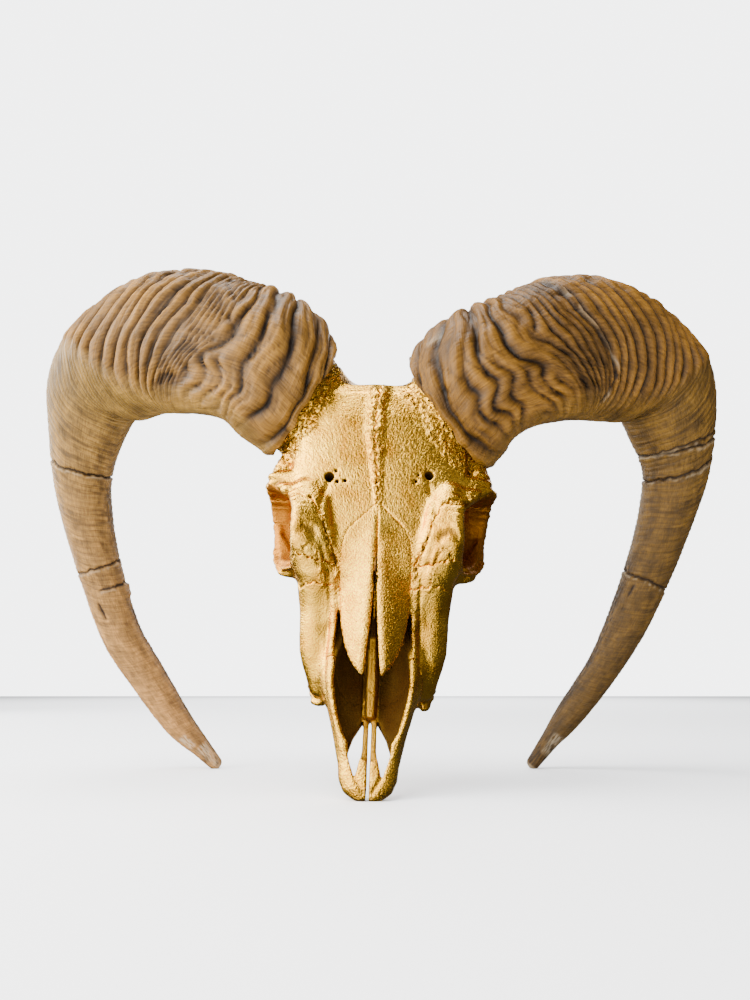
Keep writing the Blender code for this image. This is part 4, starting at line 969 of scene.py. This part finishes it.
def cutBone(bone, side, box):  # takes a bone out of the skull: its own field, and how far spots lie past it
    spot = spots(box)
    if bone == "nasal":
        past = nasalForm(side, (86.0, 92.0))[0](*spot)
        own = nasalForm(side, (100.0, 108.0))[0](*spot)
        own = blendMax(own, hull[box] - 16.0 * fades(spot[1], 92, 102), 0.2)
        field[box] = np.maximum(field[box], 2.0 * stance["suture"] - past)
    else:
        past = pastSuture(bone, side, *spot).astype(np.float32)
        own = np.maximum(field[box], past)
        field[box] = np.maximum(field[box], stance["suture"] - past)
    return own, past


def paintReach(points, outwards, depth):  # how open a point is, how far inside the nose, and in the socket: the masks for the painted shade
    x, s, h = points.T
    out = np.abs(x)
    inRing = fades(np.hypot(s - orbit["s"], h - orbit["h"]), 22, 26) * step01(out, 24, 30)
    shown = np.maximum(opennessAt(points, outwards), 0.34 * inRing)
    # socket: the inside of an orbit, which the material turns a duller orange as painted shade and painted
    # reflection
    away = np.stack([np.sign(x) * 62.0, orbit["s"] + 0 * x, orbit["h"] + 0 * x], axis=1) - points
    faces = np.sum(outwards * unit(away), axis=1)
    socket = step01(faces, 0.05, 0.4) * fades(np.linalg.norm(away, axis=1), 27, 31)
    barred = (out < 4.9) & (h < np.interp(s, (41, 60, 95), (14, 20, 30)))         # the vomer gets less of the painted shade
    inNose = fades(out, 24, 28) * fades(s, 122, 130) * step01(h, 2, 8)
    inside = np.where(barred, 0.35, 1.0) * step01(depth, 1.0, 4.5) * inNose
    for x0, s0, radius in foramina:                       # painted shade down the small holes
        off = fromHole(x, s, h, x0, s0)
        inside = np.maximum(inside, fades(off, 0.95 * radius, 1.25 * radius) * step01(depth, 0.4, 1.4))
    return shown, inside, socket


def buildBones(looks):  # one skin for each bone, parted along its sutures, with its relief and its openness
    made = {}
    tasks = [(bone, side, box) for bone, box in boneBoxes.items() for side in (-1, 1)]
    for bone, side, (a, b) in tasks + [("braincase", 0, (skullSet["low"], skullSet["high"]))]:
        a, b = np.array(a, float), np.array(b, float)
        if side < 0:
            a[0], b[0] = -b[0], -a[0]
        box = window(a, b)
        own, past = cutBone(bone, side, box) if side else (field, None)
        points, quads = skinOf(own, box)
        points = evened(points, quads)
        steep = np.stack([readField(openField, points + 0.7 * way) - readField(openField, points - 0.7 * way)
                          for way in np.eye(3)], axis=1)
        outwards = unit(steep)                        # of the whole skull, so that parted edges move together
        depth, seam = np.maximum(-readField(hull, points), 0), 0
        if bone == "nasal":
            depth = 0 * depth
            inner, outer = (np.interp(points[:, 1], *np.array(nasalRows)[:, [0, k]].T) for k in (1, 2))
            far = np.minimum(np.abs(side * points[:, 0] - inner), np.abs(side * points[:, 0] - outer))
            seam = bell(far, skullSet["nasalSeamHalf"]) * step01(points[:, 1], 80, 95)
        elif side:
            start = np.array([part.start for part in box]) * gridStep
            half = skullSet["lacrimalSeamHalf" if bone == "lacrimal" else "seamHalf"]
            seam = bell(readField(past, points - start), half)
        relief, spongy = boneRelief(points, seam)
        relief *= 1 - 0.7 * step01(depth, 3, 8)
        shown, inside, socket = paintReach(points, outwards, depth)
        points = points + outwards * relief[:, None]
        x, s, h = points.T
        ahead = s - 92                                # the strokes fan out from the nose
        brush = np.stack([np.arctan2(x, np.maximum(ahead, 18)) * 60, np.hypot(x, ahead), h], axis=1) * mm
        world = poseSkull(points)
        world[:, 2] = np.maximum(world[:, 2], 0.0)
        word = ("", "right", "left")[side]
        print(bone + word.capitalize(), len(quads) * 2, "triangles")
        node = bone + ("_" + word if word else "")
        made[node] = meshPiece(bone + word.capitalize(), world, turnedOut(world, quads), {
            "open": shown, "inside": inside, "pit": np.clip(0.5 + relief / 2.6, 0, 1), "coral": spongy,
            "fan": step01(s, 118, 140) * step01(h, 50, 60), "socket": socket, "brush": brush,
            "sandy": 0.85 + 1.0 * fades(np.abs(x), 23, 28) * fades(s, 108, 135)}, looks)
    return made


# a range is four numbers: what it reads from and to, and what that becomes
# bare is the bare bone's brown and also the colour of the painted shade; deepShade and socket are painted
# shade
goldSet = {
    "paint": ("#CA8D1F", "#F9C442"), "paintEnds": (0.32, 0.7), "bare": ("#1E0F05", "#5E3D18"),
    "deepShade": "#260A01", "socket": "#B87820", "socketRough": 0.55, "insideRough": 0.8, "gleam": 0.15,
    "bump": 0.00045,
    "patches": 55.0, "grit": 1000.0, "dashes": (780.0, 520.0, 620.0), "strokes": (1000.0, 260.0, 700.0),
    "bareInPits": 0.75, "spongyBump": 1.4,
    "ranges": {"shadeWhereClosed": (0.06, 0.3, 0.05, 1.0), "outside": (0.0, 1.0, 1.0, 0.06),
               "shadeInPits": (0.02, 0.24, 0.2, 1.0), "speckle": (0.32, 0.42, 0.78, 1.0),
               "grains": (0.38, 0.48, 0.0, 1.0), "rough": (0.3, 0.7, 0.18, 0.34)},
    "metal": (0.05, 0.55, 0.7, 1.0),
}


def dressBone():
    # Gold paint brushed on dry bone: a soft metal sheen that thins out, with painted shade as dark brown in
    # closed-in places, in pits, deep in the nose and inside the orbits, and bare brown specks
    looks, tree, shader = newLooks("goldPaintBrushedOnBone")
    where = addNode(tree, "TexCoord").outputs["Object"]
    words = ("open", "inside", "pit", "coral", "fan", "sandy", "socket")
    read = {word: addNode(tree, "Attribute", {"attribute_name": word}).outputs["Fac"] for word in words}
    brush = addNode(tree, "Attribute", {"attribute_name": "brush"}).outputs["Vector"]
    blotchy, gritty = {"Scale": goldSet["patches"], "Detail": 4.0}, {"Scale": goldSet["grit"], "Detail": 2.0}
    patches, grit = (addNode(tree, "TexNoise", {**known, "Roughness": 0.6}, {"Vector": where})
                     for known in (blotchy, gritty))
    dashMap = addNode(tree, "Mapping", {"Scale": goldSet["dashes"]}, {"Vector": brush})
    dashes = addNode(tree, "TexNoise", {"Scale": 1.0, "Detail": 2.0, "Roughness": 0.55}, {"Vector": dashMap})
    paint = addNode(tree, "ValToRGB", {}, {"Fac": patches})
    bare = addNode(tree, "ValToRGB", {}, {"Fac": grit})
    for ramp, colours, ends in ((paint, goldSet["paint"], goldSet["paintEnds"]),
                                (bare, goldSet["bare"], (0, 1))):
        for element, colour, end in zip(ramp.color_ramp.elements, colours, ends):
            element.position, element.color = end, linearColour(colour)
    # deepShade: near black deep inside the nose and down the small holes, painted shade over the bare brown
    # bone there
    deepShadeMix = {"data_type": "RGBA", 7: linearColour(goldSet["deepShade"])}
    deepShade = addNode(tree, "Mix", deepShadeMix, {0: read["inside"], 6: bare})
    sources = {"shadeWhereClosed": read["open"], "outside": read["inside"], "shadeInPits": read["pit"], "speckle": grit,
               "grains": dashes, "rough": grit}
    ranged = {word: addNode(tree, "MapRange", dict(enumerate(goldSet["ranges"][word], 1)), {0: source})
              for word, source in sources.items()}
    # how much gold shows: painted shade thins it where the skull is closed in, in pits and deep inside the
    # nose, and holes between the brush's dashes and random specks let the bare brown through
    less = {"operation": "MULTIPLY_ADD", 1: -goldSet["bareInPits"], 2: goldSet["bareInPits"]}
    holes = addNode(tree, "Math", less, {0: ranged["grains"]})
    holes = addNode(tree, "Math", {"operation": "MULTIPLY"}, {0: holes, 1: read["coral"]})
    filled = addNode(tree, "Math", {"operation": "SUBTRACT", 0: 1.0, "use_clamp": True}, {1: holes})
    paintCoverAndShade = ranged["shadeWhereClosed"]
    for share in (ranged["outside"], ranged["shadeInPits"], ranged["speckle"], filled):
        paintCoverAndShade = addNode(tree, "Math", {"operation": "MULTIPLY"}, {0: paintCoverAndShade, 1: share})
    colour = addNode(tree, "Mix", {"data_type": "RGBA"}, {0: paintCoverAndShade, 6: deepShade, 7: paint})
    # the inside of each orbit turns a duller orange: painted shade and painted reflection of gold in a hollow
    socketShade = {"data_type": "RGBA", 7: linearColour(goldSet["socket"])}
    colour = addNode(tree, "Mix", socketShade, {0: read["socket"], 6: colour})
    metal = addNode(tree, "MapRange", dict(enumerate(goldSet["metal"], 1)), {0: paintCoverAndShade})
    rough = addNode(tree, "Mix", {3: goldSet["insideRough"]}, {0: read["inside"], 2: ranged["rough"]})
    rough = addNode(tree, "Mix", {3: goldSet["socketRough"]}, {0: read["socket"], 2: rough})
    strokes = addNode(tree, "Mapping", {"Scale": goldSet["strokes"]}, {"Vector": brush})
    brushed = addNode(tree, "TexNoise", {"Scale": 1.0, "Detail": 2.0}, {"Vector": strokes})
    sandy = addNode(tree, "Math", {"operation": "MULTIPLY"}, {0: read["sandy"], 1: grit})
    rise = addNode(tree, "Math", {"operation": "MULTIPLY_ADD"}, {0: brushed, 1: read["fan"], 2: sandy})
    spongy = addNode(tree, "Math", {"operation": "MULTIPLY"}, {0: ranged["grains"], 1: read["coral"]})
    more = {"operation": "MULTIPLY_ADD", 1: goldSet["spongyBump"]}
    rise = addNode(tree, "Math", more, {0: spongy, 2: rise})
    bump = addNode(tree, "Bump", {"Strength": 1.0, "Distance": goldSet["bump"]}, {"Height": rise})
    setNode(tree, shader, {"Specular IOR Level": goldSet["gleam"]},
            {"Base Color": colour, "Metallic": metal, "Roughness": rough, "Normal": bump})
    return looks


hornPaint = {
    # each horn's tones: the right horn's darker crest, face and tip are partly painted shade for the side
    # away from the light, and the left's paler tip is partly painted light, over the horns' own brown
    "left": {"name": "driedHornSheathLitLeft",
             "crest": "#6E4C17", "trough": "#160C04", "face": "#6C511D", "tip": "#966C3A"},
    "right": {"name": "driedHornSheathShadedRight",
              "crest": "#60400C", "trough": "#160C04", "face": "#583E0C", "tip": "#4C350C"},
    "grimeAndShade": "#1E140C", "pale": "#CBB99A", "ends": (0.2, 0.78), "index": 1.45, "gleam": 0.25, "bump": 0.0005,
    "fibres": (900.0, 900.0, 160.0), "lines": (25.0, 25.0, 900.0), "cloud": 60.0,
    "ranges": {"tipward": (0.35, 0.9, 0.0, 1.0), "fibreTone": (0.3, 0.7, 0.62, 1.3),
               "lineTone": (0.35, 0.65, 0.74, 1.14), "cloudTone": (0.3, 0.7, 0.55, 1.4),
               "rough": (0.3, 0.7, 0.36, 0.56)},
}


def dressHorn(side):
    # Horn sheath, grown keratin, dry and weathered: satin, with fibres along it, painted shade in the furrows
    # and cracks, and real grime at the tip and in streaks
    looks, tree, shader = newLooks(hornPaint[side]["name"])
    tones = {word: linearColour(hornPaint[side][word]) for word in ("crest", "trough", "face", "tip")}
    words = ("relief", "orbital", "dark", "pale", "along")
    read = {word: addNode(tree, "Attribute", {"attribute_name": word}).outputs["Fac"] for word in words}
    way = addNode(tree, "Attribute", {"attribute_name": "grain"}).outputs["Vector"]
    maps = [addNode(tree, "Mapping", {"Scale": hornPaint[word]}, {"Vector": way})
            for word in ("fibres", "lines")]
    grainy = {"Scale": 1.0, "Detail": 3.0, "Roughness": 0.6}
    fibres, lines = (addNode(tree, "TexNoise", grainy, {"Vector": source}) for source in maps)
    cloudy = {"Scale": hornPaint["cloud"], "Detail": 5.0, "Roughness": 0.6}
    cloud = addNode(tree, "TexNoise", cloudy, {"Vector": way})
    # colour ramp by ridge height: trough is painted shade in the furrows, crest is the horn's own tone
    ridge = addNode(tree, "ValToRGB", {}, {"Fac": read["relief"]})
    for element, word, end in zip(ridge.color_ramp.elements, ("trough", "crest"), hornPaint["ends"]):
        element.position, element.color = end, tones[word]
    sources = {"tipward": read["along"], "rough": fibres,
               "fibreTone": fibres, "lineTone": lines, "cloudTone": cloud}
    ranged = {word: addNode(tree, "MapRange", dict(enumerate(hornPaint["ranges"][word], 1)), {0: source})
              for word, source in sources.items()}
    smooth = {"data_type": "RGBA", 6: tones["face"], 7: tones["tip"]}
    smooth = addNode(tree, "Mix", smooth, {0: ranged["tipward"]})
    face = addNode(tree, "Mix", {"data_type": "RGBA"}, {0: read["orbital"], 6: ridge, 7: smooth})
    tone = ranged["fibreTone"]
    onFace = addNode(tree, "Mix", {2: 1.0}, {0: read["orbital"], 3: ranged["lineTone"]})
    for share in (onFace, ranged["cloudTone"]):
        tone = addNode(tree, "Math", {"operation": "MULTIPLY"}, {0: tone, 1: share})
    colour = addNode(tree, "VectorMath", {"operation": "SCALE"}, {0: face, "Scale": tone})
    # dark mixes in grimeAndShade: painted shade in furrows and cracks, together with real grime and dark
    # strips
    for word, over in (("dark", "grimeAndShade"), ("pale", "pale")):
        over = {"data_type": "RGBA", 7: linearColour(hornPaint[over])}
        colour = addNode(tree, "Mix", over, {0: read[word], 6: colour})
    rise = addNode(tree, "Math", {"operation": "ADD"}, {0: fibres, 1: lines})
    bump = addNode(tree, "Bump", {"Strength": 1.0, "Distance": hornPaint["bump"]}, {"Height": rise})
    setNode(tree, shader, {"IOR": hornPaint["index"], "Specular IOR Level": hornPaint["gleam"]},
            {"Base Color": colour, "Roughness": ranged["rough"], "Normal": bump})
    return looks


goldBone = dressBone()
for node, piece in buildBones(goldBone).items():
    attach(piece, "root")
    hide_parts(node)
print("bones made")

for side, about in horns.items():
    points, quads, values = hornSurface(about)
    world = (points - stance["origin"]) * mm
    world[:, 2] = np.maximum(world[:, 2], 0.0)
    piece = meshPiece("horn" + side.capitalize(), world, turnedOut(world, quads), values, dressHorn(side))
    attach(piece, "root")
    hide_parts("horn_" + side)
print("horns made")


# plain pale floor, and soft light mostly from the left; each light is place, target, width, power, colour
stageSet = {
    "floor": "#F6F7F9", "floorRough": 0.85, "floorHalf": 6, "sky": "#F1F2F3",
    "shown": 5.6, "lit": 1.0, "gleam": 0.1,           # the sky for the camera, plain rays and glossy rays
    "lights": {
        "fromTheLeft": ((-1.4, -0.55, 0.55), (0, 0, 0.18), 1.1, 62.0, "#FFFDF8"),
        "fromAbove": ((-0.35, -0.5, 1.35), (0, 0, 0.15), 1.0, 54.0, "#FFFFFF"),
        "fromTheRight": ((1.2, -0.9, 0.35), (0, 0, 0.15), 1.0, 1.5, "#FFF4E4"),
        "fromTheFront": ((-0.9, -1.05, 0.1), (0, 0, 0.15), 1.5, 28.0, "#FFF8EE"),
        "fromBehindLeft": ((-1.5, 0.6, 0.5), (0, 0, 0.15), 1.1, 36.0, "#FFFFFF"),
        "fromTheFloor": ((-0.22, -0.32, 0.012), (-0.1, -0.05, 0.25), 0.5, 2.1, "#FFFFFF"),
        "overTheFarFloor": ((0, 3.2, 1.6), (0, 3.21, 0), 4.0, 220.0, "#FFFFFF")},
}
floorMesh, half = bpy.data.meshes.new("floor"), stageSet["floorHalf"]
corners = [(-half, -half, 0), (half, -half, 0), (half, half, 0), (-half, half, 0)]
floorMesh.from_pydata(corners, [], [(0, 1, 2, 3)])
floor = bpy.data.objects.new("floor", floorMesh)
bpy.context.scene.collection.objects.link(floor)
paper, tree, shader = newLooks("mattStudioPaper")
setNode(tree, shader, {"Base Color": linearColour(stageSet["floor"]), "Roughness": stageSet["floorRough"]})
floorMesh.materials.append(paper)
floor.visible_glossy = False                          # the gold reflects dark surroundings instead

for name, (place, target, width, power, colour) in stageSet["lights"].items():   # square boxes facing targets
    lamp = bpy.data.lights.new(name, "AREA")
    lamp.shape, lamp.size, lamp.energy, lamp.color = "SQUARE", width, power, linearColour(colour)[:3]
    box = bpy.data.objects.new(name, lamp)
    box.location = place
    way = np.subtract(target, place)
    tilt = math.pi / 2 + math.atan2(way[2], math.hypot(way[0], way[1]))
    box.rotation_euler = (tilt, 0, math.atan2(-way[0], way[1]))
    box.visible_camera = False
    bpy.context.scene.collection.objects.link(box)
world = bpy.data.worlds.new("paleStudio")
world.use_nodes = True
bpy.context.scene.world = world
tree = world.node_tree
tree.nodes.clear()
sky = linearColour(stageSet["sky"])
shown, lit, gleam = (addNode(tree, "Background", {"Color": sky, "Strength": stageSet[word]})
                     for word in ("shown", "lit", "gleam"))
ray = addNode(tree, "LightPath").outputs
unseen = addNode(tree, "MixShader", {}, {0: ray["Is Glossy Ray"], 1: lit, 2: gleam})
pick = addNode(tree, "MixShader", {}, {0: ray["Is Camera Ray"], 1: unseen, 2: shown})
addNode(tree, "OutputWorld", {}, {"Surface": pick})
print("stage set")
